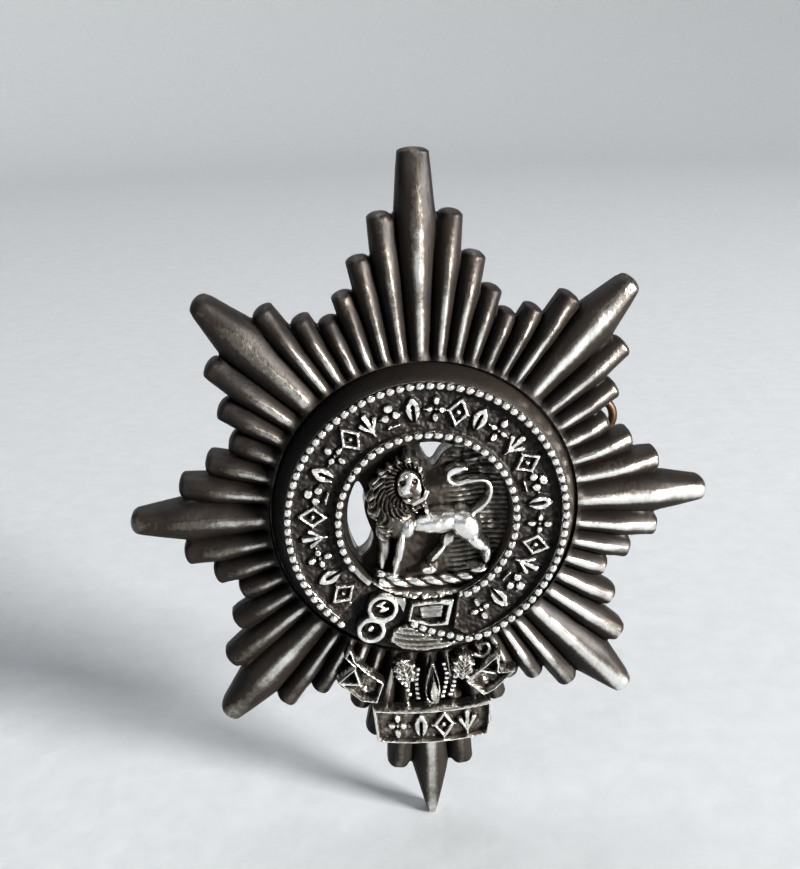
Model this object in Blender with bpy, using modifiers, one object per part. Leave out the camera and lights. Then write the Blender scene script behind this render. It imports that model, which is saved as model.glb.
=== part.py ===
# Small cap badge: a pleated eight-pointed star that carries a round buckled belt, a walking
# lion on a twisted wreath and a ribbon scroll, held to a cap by two wire lugs and a split pin.
#
# Every piece is modelled face up, as it would lie on a bench: x to the right, y towards the
# top ray, z the height above the star's flat back, all measured from the star's centre.
# The empty badge_frame then stands the whole badge upright, with its face towards -Y, and
# puts the origin on the flat back, midway between the two lugs.

import math

import bmesh
import bpy
from mathutils import Matrix, Vector

MM = 0.001

# Star: reach of the main rays from the centre, and of the shorter rays that flank them
TOP_REACH = 12.6 * MM
SIDE_REACH = 10.4 * MM
DIAGONAL_REACH = 10.9 * MM
DIAGONAL_ANGLE = 46
STEEP_FLANK_REACHES = [10.6 * MM, 9.3 * MM, 8.3 * MM, 7.7 * MM, 8.2 * MM, 9.2 * MM]
SHALLOW_FLANK_REACHES = [8.7 * MM, 7.9 * MM, 7.3 * MM, 8.1 * MM, 9.2 * MM]
UPRIGHT_RAY_HALF_ANGLE = 3.8
MAIN_RAY_HALF_ANGLE = 5.0
MAIN_TIP_HALF_WIDTH = 0.45 * MM
TOP_TIP_HALF_WIDTH = 0.54 * MM
BOTTOM_TIP_HALF_WIDTH = 0.22 * MM
FLANK_TIP_HALF_WIDTH = 0.32 * MM
TIP_ROUNDING = 0.2 * MM
NOTCH_DEPTH = 0.22 * MM
SEAT_HEIGHT = 0.9 * MM
RIDGE_RISE = 0.25 * MM
RIDGE_FALL_MIDWAY = 0.05 * MM
RIDGE_FALL_NEAR_TIP = 0.25 * MM
VALLEY_DROP = 0.4 * MM
EDGE_HEIGHT = 0.4 * MM
# Shares of the way from the seat out to a ray's end, and of the way from a ridge down to a valley
PLEAT_START = 0.02
MIDWAY = 0.5
NEAR_TIP = 0.88
FLANK_DROP = 0.35
SOLDER_GAP = 0.03 * MM

# Belt
BELT_INNER_RADIUS = 3.0 * MM
BELT_WIDTH = 2.0 * MM
BELT_THICKNESS = 1.02 * MM
COLLAR_WIDTH = 0.42 * MM
COLLAR_FOOT_RISE = 0.25 * MM
COLLAR_FOOT_BATTER = 0.08 * MM
SEAT_MARGIN = 0.08 * MM
LEDGE_DEPTH = 0.5 * MM
BEADING_RADIUS = 0.13 * MM
OUTER_BEADING_ANGLES = (-66, 231)
INNER_BEADING_ANGLES = (-68, 213)
BEADING_STEP = 5

# Places on the belt are (angle, share of the way from its inner to its outer edge).
BUCKLE_LEDGE = [(228, -0.4), (228, 1.7), (270, 1.7), (290, 1.7), (287.5, 0.96), (281, 0.69), (292.5, -0.09),
                (270, -0.5)]
UPPER_LOBE = (243, 0.35, 0.25)
LOWER_LOBE = (242.7, 0.81, 0.22)
LOBE_WIRE = 0.12 * MM
LOBE_HEIGHT = 0.5 * MM
TONGUE_RADIUS = 0.08 * MM
TONGUE_REACH_SHARE = 0.8
TONGUE_SLOPE = 0.4
STRAP_RISE = 0.48 * MM
KEEPER_OUTLINE = [(258, 0.46), (258.6, 0.11), (285.9, 0.14), (279.3, 0.6), (269.3, 0.56)]
STRAP_TIP_OUTLINE = [(252.3, 0.97), (253, 0.72), (258.1, 0.55), (267.4, 0.71), (276.6, 0.88), (283.8, 1.01),
                     (275.7, 1.01), (266.6, 1.01), (258.5, 1.0)]

# Field, lion and wreath: places in the field are in thirds of the belt's inner radius.
FIELD_UNIT = BELT_INNER_RADIUS / 3
GROUND_THICKNESS = 0.27 * MM
CRESCENT_VOID = [(-2.35, 1.3), (-2.66, 0.7), (-2.76, 0.0), (-2.7, -0.75), (-2.45, -1.5), (-2.3, -1.6),
                 (-2.0, -1.3), (-1.86, -0.8), (-1.98, -0.4), (-2.14, 0.2), (-2.1, 0.75)]
WEDGE_VOID = [(-0.1, 2.6), (1.1, 2.42), (0.7, 2.1), (0.36, 1.65), (0.12, 1.87)]
WREATH_RADIUS = 0.2 * MM
WREATH_HALF_LENGTH = 1.9
WREATH_Y = -2.42
WREATH_SAG = 0.1
MOUND_LAP = 0.08 * MM
MOUND_LAP_HALF_ANGLE = 14
MOUND_SHOULDER_ANGLE = 1.5
MOUND_THICKNESS = 0.35 * MM
MOUND_EDGE = 0.03 * MM
LION_DEPTH = 0.85 * MM
LION_BACK_SINK = 0.1 * MM

# Each mass of the lion is (x, y, half length, half width, tilt in degrees, share of its depth).
LION_MASSES = [
    (0.1, -0.2, 1.1, 0.4, 2, 0.8),
    (-1.0, -0.05, 0.75, 0.75, 80, 0.95),
    (-1.03, 1.0, 1.0, 1.0, 90, 1.0),
    (-0.72, 1.25, 0.52, 0.3, 82, 1.25),
    (-0.8, 1.95, 0.5, 0.45, 20, 0.8),
    (1.35, -0.25, 0.68, 0.5, -45, 1.0),
    (1.75, -0.95, 0.6, 0.26, -32, 0.8),
    (2.13, -1.45, 0.5, 0.19, 80, 0.75),
    (1.74, -1.98, 0.38, 0.34, 0, 0.7),
    (0.55, -1.0, 0.85, 0.26, 50, 0.5),
    (0.03, -1.98, 0.34, 0.44, 0, 0.5),
    (-1.0, -0.95, 0.85, 0.21, 76, 0.9),
    (-1.25, -1.97, 0.34, 0.38, 0, 0.8),
    (-1.5, -0.85, 0.9, 0.32, 86, 0.55),
    (-1.62, -1.97, 0.28, 0.36, 0, 0.5),
]
LION_TAIL = [(1.3, -0.1), (1.7, 0.15), (2.05, 0.35), (2.25, 0.75), (2.18, 1.15), (1.85, 1.3), (1.3, 1.27),
             (0.9, 1.25), (0.76, 1.48), (0.95, 1.72), (1.3, 1.74)]
LION_TAIL_RADIUS = 0.11 * MM

# Ribbon scroll and the ornament above it: y is measured from the belt seat's lowest point.
RIBBON_THICKNESS = 0.7 * MM
PANEL_HALF_WIDTH = 2.2 * MM
PANEL_DROP = 1.8 * MM
PANEL_HEIGHT = 1.4 * MM
PANEL_SAG = 0.2 * MM
PANEL_TAPER = 0.94
PANEL_EDGE = 0.1 * MM
LEFT_TAIL_OUTLINE = [(-2.95, 0.7), (-3.15, 0.3), (-2.82, -0.12), (-3.45, -0.65), (-2.6, -1.5), (-2.0, -1.62),
                     (-1.7, -0.8), (-2.3, -0.3), (-2.72, 0.15)]
RIGHT_TAIL_OUTLINE = [(2.55, 0.15), (1.25, -1.0), (1.9, -1.62), (2.35, -1.4), (3.2, -0.6), (2.5, -0.65)]
ORNAMENT_RISE = 0.6 * MM
DROP_POINT_FULLNESS = 0.45
FLAME = (0.05, -1.0, 0.36, 0.85)
LEFT_LEAF = (-0.95, -0.5, 0.26, 0.42)
RIGHT_LEAF = (1.2, -0.48, 0.26, 0.42)

# Fastening: two lugs of bent wire and one split pin
LUG_SPACING = 12.0 * MM
LUG_RISE_ABOVE_CENTRE = 1.3 * MM
LUG_WIRE_RADIUS = 0.35 * MM
PIN_DEPTH = 5.0 * MM
PIN_WIRE_RADIUS = 0.2 * MM
PIN_LEG_GAP = 0.04 * MM
PIN_CLEARANCE = 0.08 * MM
PIN_EYE_RADIUS = 0.72 * MM
PIN_EYE_OVERHANG = 1.55 * MM
PIN_TIP_OVERHANG = 0.65 * MM
PIN_SHORT_LEG = 0.3 * MM

SILVER = ("antique_silver", (0.63, 0.61, 0.58, 1), 0.33)
DARK_SILVER = ("darkened_silver", (0.16, 0.14, 0.12, 1), 0.55)
COPPER = ("lug_copper", (0.66, 0.36, 0.22, 1), 0.4)
BRASS = ("pin_brass", (0.52, 0.38, 0.2, 1), 0.42)
FULL_TURN = 2 * math.pi
PLATE_EDGE = 0.06 * MM
WELD_DISTANCE = 0.0005 * MM
SMOOTH_ANGLE = math.radians(35)

# Heights and radii that follow from the sizes above
belt_face_radius = BELT_INNER_RADIUS + BELT_WIDTH
belt_foot_radius = belt_face_radius + COLLAR_WIDTH
seat_radius = belt_foot_radius + SEAT_MARGIN
ridge_height = SEAT_HEIGHT + RIDGE_RISE
ray_top = ridge_height + SOLDER_GAP
belt_foot = SEAT_HEIGHT + SOLDER_GAP
belt_height = belt_foot + BELT_THICKNESS
ledge_height = belt_height - LEDGE_DEPTH
on_ledge = ledge_height + SOLDER_GAP
field_radius = BELT_INNER_RADIUS - SOLDER_GAP
on_ground = belt_foot + GROUND_THICKNESS + SOLDER_GAP
wreath_lowest = (WREATH_Y - WREATH_SAG) * FIELD_UNIT - WREATH_RADIUS
pin_leg_offset = PIN_WIRE_RADIUS + PIN_LEG_GAP / 2
lug_bend_radius = pin_leg_offset + PIN_WIRE_RADIUS + PIN_CLEARANCE + LUG_WIRE_RADIUS


def clear_scene():
    for old in list(bpy.data.objects):
        bpy.data.objects.remove(old, do_unlink=True)


def collection(name, shown=True):
    made = bpy.data.collections.new(name)
    made.hide_render = not shown
    bpy.context.scene.collection.children.link(made)
    return made


def stand_frame():
    # Turns the bench's x, y, z into the badge's X, Z, -Y and drops the star's centre below the lugs.
    made = bpy.data.objects.new("badge_frame", None)
    badge.objects.link(made)
    made.location = (0, 0, -LUG_RISE_ABOVE_CENTRE)
    made.rotation_euler = (math.pi / 2, 0, 0)
    return made


def metal(spec):
    name, colour, roughness = spec
    made = bpy.data.materials.get(name)
    if made is None:
        made = bpy.data.materials.new(name)
        made.use_nodes = True
        shader = made.node_tree.nodes["Principled BSDF"]
        shader.inputs["Base Color"].default_value = colour
        shader.inputs["Roughness"].default_value = roughness
        shader.inputs["Metallic"].default_value = 1.0
    return made


def piece(name, data, spec, place=(0, 0, 0)):
    made = bpy.data.objects.new(name, data)
    data.materials.append(metal(spec))
    badge.objects.link(made)
    made.parent = frame
    made.location = place
    return made


def cutter(name, data):
    made = bpy.data.objects.new(name, data)
    cutters.objects.link(made)
    made.hide_render = True
    made.display_type = "WIRE"
    made.parent = frame
    return made


def cut(obj, tool, operation="DIFFERENCE"):
    boolean = obj.modifiers.new(tool.name, "BOOLEAN")
    boolean.operation = operation
    boolean.object = tool
    boolean.solver = "EXACT"


def polar(radius, angle):
    turn = math.radians(angle)
    return Vector((radius * math.cos(turn), radius * math.sin(turn)))


def arc(radius, start, end, count):
    return [polar(radius, start + (end - start) * step / (count - 1)) for step in range(count)]


def circle(radius, count):
    return arc(radius, 0, 360, count + 1)[:-1]


def in_field(points):
    return [Vector((x, y)) * FIELD_UNIT for x, y in points]


def on_belt(points):
    return [polar(BELT_INNER_RADIUS + across * BELT_WIDTH, angle) for angle, across in points]


def below_belt(points):
    return [Vector((x * MM, y * MM - seat_radius)) for x, y in points]


def finished_mesh(shape, name):
    bmesh.ops.recalc_face_normals(shape, faces=shape.faces)
    data = bpy.data.meshes.new(name)
    shape.to_mesh(data)
    shape.free()
    data.shade_smooth()
    data.set_sharp_from_angle(angle=SMOOTH_ANGLE)
    return data


def flat_curve(name, outline, thickness):
    # A closed outline filled on both sides and given half the thickness each way.
    data = bpy.data.curves.new(name, "CURVE")
    data.dimensions = "2D"
    data.fill_mode = "BOTH"
    data.extrude = thickness / 2
    spline = data.splines.new("POLY")
    spline.points.add(len(outline) - 1)
    for point, (x, y) in zip(spline.points, outline):
        point.co = (x, y, 0, 1)
    spline.use_cyclic_u = True
    return data


def plate(name, outline, foot, thickness, spec, edge=PLATE_EDGE):
    made = piece(name, flat_curve(name, outline, thickness), spec, (0, 0, foot + thickness / 2))
    weld = made.modifiers.new("weld_caps", "WELD")
    weld.merge_threshold = WELD_DISTANCE
    bevel = made.modifiers.new("soft_edges", "BEVEL")
    bevel.width = edge
    bevel.segments = 1
    bevel.limit_method = "ANGLE"
    bevel.angle_limit = math.radians(40)
    return made


def wire_curve(name, path, radius):
    data = bpy.data.curves.new(name, "CURVE")
    data.dimensions = "3D"
    data.bevel_depth = radius
    data.bevel_resolution = 2
    data.use_fill_caps = True
    spline = data.splines.new("POLY")
    spline.points.add(len(path) - 1)
    for point, co in zip(spline.points, path):
        point.co = (*co, 1)
    return data


def wire(name, path, radius, spec, place=(0, 0, 0)):
    return piece(name, wire_curve(name, path, radius), spec, place)


def wire_mesh(name, path, radius):
    # The same wire as a closed mesh, for a piece that is cut or joined.
    source = bpy.data.objects.new(name, wire_curve(name, path, radius))
    cutters.objects.link(source)
    graph = bpy.context.evaluated_depsgraph_get()
    drawn = bpy.data.meshes.new_from_object(source.evaluated_get(graph))
    bpy.data.objects.remove(source)
    shape = bmesh.new()
    shape.from_mesh(drawn)
    bmesh.ops.remove_doubles(shape, verts=shape.verts, dist=WELD_DISTANCE)
    return finished_mesh(shape, name)


def prism(name, outline, foot, top):
    # An outline carried straight up from foot to top, as a closed mesh.
    shape = bmesh.new()
    corners = [shape.verts.new((x, y, foot)) for x, y in outline]
    floor = bmesh.ops.contextual_create(shape, geom=corners)["faces"]
    risen = bmesh.ops.extrude_face_region(shape, geom=floor)["geom"]
    lifted = [item for item in risen if isinstance(item, bmesh.types.BMVert)]
    bmesh.ops.translate(shape, verts=lifted, vec=(0, 0, top - foot))
    return finished_mesh(shape, name)


def turned(name, profile, steps, spec):
    # The profile is (radius, height) pairs, closed, down its outer side from top to bottom.
    data = bpy.data.meshes.new(name)
    count = len(profile)
    edges = [(index, (index + 1) % count) for index in range(count)]
    data.from_pydata([(radius, 0, height) for radius, height in profile], edges, [])
    made = piece(name, data, spec)
    screw = made.modifiers.new("turn", "SCREW")
    screw.axis = "Z"
    screw.steps = steps
    screw.render_steps = steps
    screw.merge_threshold = WELD_DISTANCE
    return made


# Star: one pleat per ray, lofted from a ring round the belt's seat out to the ray tips

def flank_rays(start, end, reaches):
    half = (end - start) / len(reaches) / 2
    return [(start + half * (2 * index + 1), half, reach, FLANK_TIP_HALF_WIDTH)
            for index, reach in enumerate(reaches)]


def star_rays():
    # Every ray as (angle, half angle, reach, half width of its tip), from 0 degrees round.
    diagonal_start = DIAGONAL_ANGLE - MAIN_RAY_HALF_ANGLE
    diagonal_end = DIAGONAL_ANGLE + MAIN_RAY_HALF_ANGLE
    quarter = [
        (0, MAIN_RAY_HALF_ANGLE, SIDE_REACH, MAIN_TIP_HALF_WIDTH),
        *flank_rays(MAIN_RAY_HALF_ANGLE, diagonal_start, SHALLOW_FLANK_REACHES),
        (DIAGONAL_ANGLE, MAIN_RAY_HALF_ANGLE, DIAGONAL_REACH, MAIN_TIP_HALF_WIDTH),
        *flank_rays(diagonal_end, 90 - UPRIGHT_RAY_HALF_ANGLE, STEEP_FLANK_REACHES[::-1]),
    ]
    left = [(180 - angle, *rest) for angle, *rest in quarter[::-1]]
    lower = [(360 - angle, *rest) for angle, *rest in quarter[:0:-1]]
    lower_left = [(360 - angle, *rest) for angle, *rest in left[-2::-1]]
    top = (90, UPRIGHT_RAY_HALF_ANGLE, TOP_REACH, TOP_TIP_HALF_WIDTH)
    bottom = (270, UPRIGHT_RAY_HALF_ANGLE, TOP_REACH, BOTTOM_TIP_HALF_WIDTH)
    return [*quarter, top, *left, *lower_left, bottom, *lower]


def star_columns():
    # Each column is its place at the seat's rim, its place on the outline, and how far below
    # the ridge it lies: 0 on a ridge, 1 in a valley.
    rays = star_rays()
    columns = []
    for index, (angle, half, reach, tip) in enumerate(rays):
        notch = min(rays[index - 1][2], reach) - NOTCH_DEPTH
        axis = polar(1, angle)
        across = Vector((-axis.y, axis.x))
        shoulder = axis * (reach - TIP_ROUNDING)
        columns.append((polar(seat_radius, angle - half), polar(notch, angle - half), 1.0))
        columns.append((polar(seat_radius, angle - half / 2), shoulder - across * tip, FLANK_DROP))
        columns.append((polar(seat_radius, angle), axis * reach, 0.0))
        columns.append((polar(seat_radius, angle + half / 2), shoulder + across * tip, FLANK_DROP))
    return columns


def star_plate():
    # Each ring of corners is a share of the way out along the rays and a ridge height, or a
    # level height with no pleat in it.
    columns = star_columns()
    count = len(columns)
    inside_rim = -SEAT_MARGIN / 2 / seat_radius
    rings = [
        (inside_rim, SEAT_HEIGHT, False),
        (PLEAT_START, ridge_height, True),
        (MIDWAY, ridge_height - RIDGE_FALL_MIDWAY, True),
        (NEAR_TIP, ridge_height - RIDGE_FALL_NEAR_TIP, True),
        (1.0, EDGE_HEIGHT, False),
        (1.0, 0, False),
        (0.0, 0, False),
    ]
    shape = bmesh.new()
    corners = []
    for share, height, pleated in rings:
        corners.append([])
        for rim, edge, drop in columns:
            place = rim.lerp(edge, share) if share > 0 else rim * (1 + share)
            corners[-1].append(shape.verts.new((*place, height - VALLEY_DROP * drop * pleated)))
    for inner, outer in zip(corners, corners[1:]):
        for index in range(count):
            after = (index + 1) % count
            shape.faces.new((inner[index], outer[index], outer[after], inner[after]))
    for height, rim in ((SEAT_HEIGHT, corners[0]), (0, corners[-1])):
        centre = shape.verts.new((0, 0, height))
        for index in range(count):
            shape.faces.new((centre, rim[index], rim[(index + 1) % count]))
    return pierced(piece("star_plate", finished_mesh(shape, "star_plate"), SILVER))


# Belt, its beading and the field inside it

def belt_ring():
    profile = [
        (BELT_INNER_RADIUS, belt_height),
        (belt_face_radius, belt_height),
        (belt_foot_radius - COLLAR_FOOT_BATTER, belt_foot + COLLAR_FOOT_RISE),
        (belt_foot_radius, belt_foot),
        (BELT_INNER_RADIUS, belt_foot),
    ]
    made = turned("belt_ring", profile, 96, SILVER)
    above_ledge = prism("buckle_ledge", on_belt(BUCKLE_LEDGE), ledge_height, 2 * belt_height)
    cut(made, cutter("buckle_ledge", above_ledge))
    return made


def beading(name, radius, angles):
    start, end = angles
    count = round((end - start) / BEADING_STEP) + 1
    height = belt_height + SOLDER_GAP + BEADING_RADIUS
    path = [(x, y, height) for x, y in arc(radius, start, end, count)]
    return wire(name, path, BEADING_RADIUS, SILVER)


def pierced(made):
    for tool in void_tools:
        cut(made, tool)
    return made


def field_ground():
    data = prism("field_ground", circle(field_radius, 64), belt_foot, belt_foot + GROUND_THICKNESS)
    return pierced(piece("field_ground", data, DARK_SILVER))


def wreath_line():
    steps = [step / 6 - 1 for step in range(13)]
    return in_field([(WREATH_HALF_LENGTH * step, WREATH_Y - WREATH_SAG * (1 - step ** 2)) for step in steps])


def wreath():
    # A sagging bar whose ends are trimmed to the belt's inner wall.
    path = [(x, y, on_ground + WREATH_RADIUS) for x, y in wreath_line()]
    made = piece("wreath", wire_mesh("wreath", path, WREATH_RADIUS), SILVER)
    cut(made, field_room, "INTERSECT")
    return made


def mound():
    # Fills the field below the wreath and laps onto the belt's ledge beside the buckle.
    half = math.degrees(math.acos((SOLDER_GAP - wreath_lowest) / field_radius))
    lap = MOUND_LAP_HALF_ANGLE
    shoulder = lap + MOUND_SHOULDER_ANGLE
    outline = arc(BELT_INNER_RADIUS + MOUND_LAP, 270 - lap, 270 + lap, 15)
    outline += arc(field_radius, 270 + shoulder, 270 + half, 3)
    outline += arc(field_radius, 270 - half, 270 - shoulder, 3)
    return plate("mound", outline, on_ledge, MOUND_THICKNESS, DARK_SILVER, MOUND_EDGE)


# Lion: rounded masses joined into one solid, with a flat back and its feet on the wreath

def lion():
    masses = [lion_mass(index, *mass) for index, mass in enumerate(LION_MASSES)]
    height = on_ground + 2 * LION_TAIL_RADIUS
    tail = [(x, y, height) for x, y in in_field(LION_TAIL)]
    masses.append(cutter("lion_tail", wire_mesh("lion_tail", tail, LION_TAIL_RADIUS)))
    made = piece("lion", masses[0].data.copy(), SILVER)
    for mass in masses[1:]:
        cut(made, mass, "UNION")
    cut(made, field_room, "INTERSECT")
    over_wreath = [Vector((x, y + WREATH_RADIUS + SOLDER_GAP)) for x, y in wreath_line()]
    wide = 2 * BELT_INNER_RADIUS
    sides = [(-wide, over_wreath[0].y), (-wide, -wide), (wide, -wide), (wide, over_wreath[-1].y)]
    under = sides + over_wreath[::-1]
    cut(made, cutter("wreath_room", prism("wreath_room", under, 0, wide)))
    return made


def lion_mass(index, x, y, length, width, tilt, share):
    centre = Vector((x * FIELD_UNIT, y * FIELD_UNIT, on_ground + LION_BACK_SINK))
    radii = (length * FIELD_UNIT, width * FIELD_UNIT, share * LION_DEPTH, 1)
    turn = Matrix.Rotation(math.radians(tilt), 4, "Z")
    shape = bmesh.new()
    bmesh.ops.create_uvsphere(shape, u_segments=16, v_segments=10, radius=1)
    place = Matrix.Translation(centre) @ turn @ Matrix.Diagonal(radii)
    bmesh.ops.transform(shape, verts=shape.verts, matrix=place)
    name = f"lion_mass_{index}"
    return cutter(name, finished_mesh(shape, name))


# Buckle, keeper and strap end, on the ledge cut into the belt

def buckle_frame():
    made = piece("buckle_frame", lobe("upper_lobe", *UPPER_LOBE), SILVER)
    cut(made, cutter("lower_lobe", lobe("lower_lobe", *LOWER_LOBE)), "UNION")
    return made


def lobe(name, angle, across, share):
    # A ring of flattened section whose radius is a share of the belt's width.
    bpy.ops.mesh.primitive_torus_add(
        major_segments=28, minor_segments=8, major_radius=share * BELT_WIDTH, minor_radius=LOBE_WIRE)
    ring = bpy.context.object
    data = ring.data.copy()
    data.name = name
    bpy.data.objects.remove(ring)
    x, y = on_belt([(angle, across)])[0]
    stretch = Matrix.Diagonal((1, 1, LOBE_HEIGHT / 2 / LOBE_WIRE, 1))
    data.transform(Matrix.Translation((x, y, on_ledge + LOBE_HEIGHT / 2)) @ stretch)
    data.shade_smooth()
    return data


def buckle_tongue():
    angle, across, share = UPPER_LOBE
    x, y = on_belt([(angle, across)])[0]
    reach = (share * BELT_WIDTH - LOBE_WIRE - TONGUE_RADIUS) * TONGUE_REACH_SHARE
    height = on_ledge + TONGUE_RADIUS
    rise = reach * TONGUE_SLOPE
    path = [(x - reach, y + rise, height), (x + reach, y - rise, height)]
    return wire("buckle_tongue", path, TONGUE_RADIUS, SILVER)


def strap_pieces():
    plate("strap_keeper", on_belt(KEEPER_OUTLINE), on_ledge, STRAP_RISE, SILVER)
    plate("strap_tip", on_belt(STRAP_TIP_OUTLINE), on_ledge, STRAP_RISE, SILVER)


# Ribbon scroll, flame and leaves, on the star's lower rays

def scroll_panel():
    steps = [step / 5 - 1 for step in range(11)]
    edge_y = -seat_radius - PANEL_DROP
    top = [(PANEL_HALF_WIDTH * step, edge_y - PANEL_SAG * (1 - step ** 2)) for step in steps]
    bottom = [(x * PANEL_TAPER, y - PANEL_HEIGHT) for x, y in reversed(top)]
    return plate("scroll_panel", top + bottom, ray_top, RIBBON_THICKNESS, SILVER, PANEL_EDGE)


def scroll_tails():
    plate("scroll_left_tail", below_belt(LEFT_TAIL_OUTLINE), ray_top, RIBBON_THICKNESS, SILVER)
    plate("scroll_right_tail", below_belt(RIGHT_TAIL_OUTLINE), ray_top, RIBBON_THICKNESS, SILVER)


def drop(name, x, y, half_width, half_height):
    # A drop: round below, drawn in towards a point above.
    outline = []
    for step in range(20):
        turn = FULL_TURN * step / 20 - math.pi / 2
        fullness = DROP_POINT_FULLNESS + (1 - DROP_POINT_FULLNESS) * (1 - math.sin(turn)) / 2
        outline.append((x + half_width * math.cos(turn) * fullness, y + half_height * math.sin(turn)))
    return plate(name, below_belt(outline), ray_top, ORNAMENT_RISE, SILVER)


# Lugs and split pin, behind the star

def lug(name, x):
    # A U of wire with both feet on the back and the pin's hole in its bend.
    bend = [(0, across, -PIN_DEPTH + down) for across, down in arc(lug_bend_radius, 180, 360, 13)]
    path = [(0, -lug_bend_radius, -SOLDER_GAP), *bend, (0, lug_bend_radius, -SOLDER_GAP)]
    return wire(name, path, LUG_WIRE_RADIUS, COPPER, (x, LUG_RISE_ABOVE_CENTRE, 0))


def split_pin():
    # One length of wire: along a leg, round the eye, and back along the other leg.
    opening = math.degrees(math.asin(pin_leg_offset / PIN_EYE_RADIUS))
    eye_x = LUG_SPACING / 2 + PIN_EYE_OVERHANG
    tip_x = -LUG_SPACING / 2 - PIN_TIP_OVERHANG
    eye = [(eye_x + x, y, 0) for x, y in arc(PIN_EYE_RADIUS, 180 - opening, -180 + opening, 25)]
    path = [(tip_x, pin_leg_offset, 0), *eye, (tip_x + PIN_SHORT_LEG, -pin_leg_offset, 0)]
    return wire("split_pin", path, PIN_WIRE_RADIUS, BRASS, (0, LUG_RISE_ABOVE_CENTRE, -PIN_DEPTH))


clear_scene()
badge = collection("cap_badge")
cutters = collection("cutters", shown=False)
frame = stand_frame()
through_star = (-ridge_height, 2 * belt_height)
field_room = cutter("field_room", prism("field_room", circle(field_radius, 64), on_ground, 2 * belt_height))
void_tools = [
    cutter("crescent_void", prism("crescent_void", in_field(CRESCENT_VOID), *through_star)),
    cutter("wedge_void", prism("wedge_void", in_field(WEDGE_VOID), *through_star)),
]

star_plate()
belt_ring()
beading("belt_outer_beading", belt_face_radius - BEADING_RADIUS, OUTER_BEADING_ANGLES)
beading("belt_inner_beading", BELT_INNER_RADIUS + BEADING_RADIUS, INNER_BEADING_ANGLES)
field_ground()
wreath()
mound()
lion()
buckle_frame()
buckle_tongue()
strap_pieces()
scroll_panel()
scroll_tails()
drop("flame", *FLAME)
drop("left_leaf", *LEFT_LEAF)
drop("right_leaf", *RIGHT_LEAF)
lug("left_lug", -LUG_SPACING / 2)
lug("right_lug", LUG_SPACING / 2)
split_pin()
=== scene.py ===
import math

import bpy
import numpy as np
from mathutils import Matrix, Vector


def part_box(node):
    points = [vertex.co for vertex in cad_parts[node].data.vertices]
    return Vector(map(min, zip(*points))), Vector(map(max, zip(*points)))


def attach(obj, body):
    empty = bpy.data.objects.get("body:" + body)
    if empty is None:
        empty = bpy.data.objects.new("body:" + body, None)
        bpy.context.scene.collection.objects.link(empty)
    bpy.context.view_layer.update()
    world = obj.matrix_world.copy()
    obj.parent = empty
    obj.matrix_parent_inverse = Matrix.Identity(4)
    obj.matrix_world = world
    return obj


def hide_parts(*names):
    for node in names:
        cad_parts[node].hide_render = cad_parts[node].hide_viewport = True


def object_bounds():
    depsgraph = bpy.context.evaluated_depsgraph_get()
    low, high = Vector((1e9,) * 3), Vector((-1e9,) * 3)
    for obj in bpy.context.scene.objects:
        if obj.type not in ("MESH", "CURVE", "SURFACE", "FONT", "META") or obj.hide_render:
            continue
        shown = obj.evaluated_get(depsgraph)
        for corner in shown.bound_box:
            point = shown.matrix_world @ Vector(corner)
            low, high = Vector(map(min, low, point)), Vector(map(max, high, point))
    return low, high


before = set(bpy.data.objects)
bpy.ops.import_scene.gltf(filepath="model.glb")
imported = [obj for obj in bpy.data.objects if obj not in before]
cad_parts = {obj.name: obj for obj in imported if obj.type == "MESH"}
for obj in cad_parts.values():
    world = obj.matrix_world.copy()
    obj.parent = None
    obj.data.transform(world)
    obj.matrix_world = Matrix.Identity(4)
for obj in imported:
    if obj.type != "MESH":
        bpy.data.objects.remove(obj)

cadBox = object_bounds()

# The badge is worked out face up, in millimetres: x to the right, y towards the top ray and
# z the height above the star's flat back, all from the star's centre. place() stands it up.
mm = 0.001
starLow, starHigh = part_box("star_plate")
starCentre = Vector(((starLow[0] + starHigh[0]) / 2, starHigh[1], (starLow[2] + starHigh[2]) / 2))
topReach = (starHigh[2] - starLow[2]) / 2 / mm
sideReach = (starHigh[0] - starLow[0]) / 2 / mm
beltLow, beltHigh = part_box("belt_ring")
footRadius = (beltHigh[0] - beltLow[0]) / 2 / mm
beltFoot = (starHigh[1] - beltHigh[1]) / mm
groundLow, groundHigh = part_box("field_ground")
fieldRadius = (groundHigh[0] - groundLow[0]) / 2 / mm
groundTop = (starHigh[1] - groundLow[1]) / mm


def place(points):
    # x, y, z on the bench become x, -z, y in the frame, in metres from the star's centre
    x, y, z = points[..., 0], points[..., 1], points[..., 2]
    return np.stack([x * mm + starCentre.x, starCentre.y - z * mm, y * mm + starCentre.z], -1)


def boxOnBench(node):
    # a node's lowest and highest corner in the bench's x, y, z
    low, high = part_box(node)
    near = np.array([low.x, low.z, -high.y]) - np.array([starCentre.x, starCentre.z, -starCentre.y])
    far = np.array([high.x, high.z, -low.y]) - np.array([starCentre.x, starCentre.z, -starCentre.y])
    return near / mm, far / mm


def polar(radius, degrees):
    turn = np.radians(degrees)
    return np.stack([radius * np.cos(turn), radius * np.sin(turn)], -1)


def ease(value, low, high):
    # 0 below low, 1 above high, and a smooth step between them
    share = np.clip((value - low) / (high - low), 0, 1)
    return share * share * (3 - 2 * share)


def mix(a, b, share):
    return a + (b - a) * share


def grain(x, y, size, seed):
    # smooth random bumps about size across, from -1 to 1: corners of a table, eased between
    table = np.random.default_rng(seed).uniform(-1, 1, (64, 64))
    u, v = x / size + 640, y / size + 640
    i, j = np.floor(u).astype(int), np.floor(v).astype(int)
    a, b = ease(u - i, 0, 1), ease(v - j, 0, 1)
    i, j, k, l = i % 64, j % 64, (i + 1) % 64, (j + 1) % 64
    return mix(mix(table[j, i], table[j, k], a), mix(table[l, i], table[l, k], a), b)


# Flat distances, negative inside the shape

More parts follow.
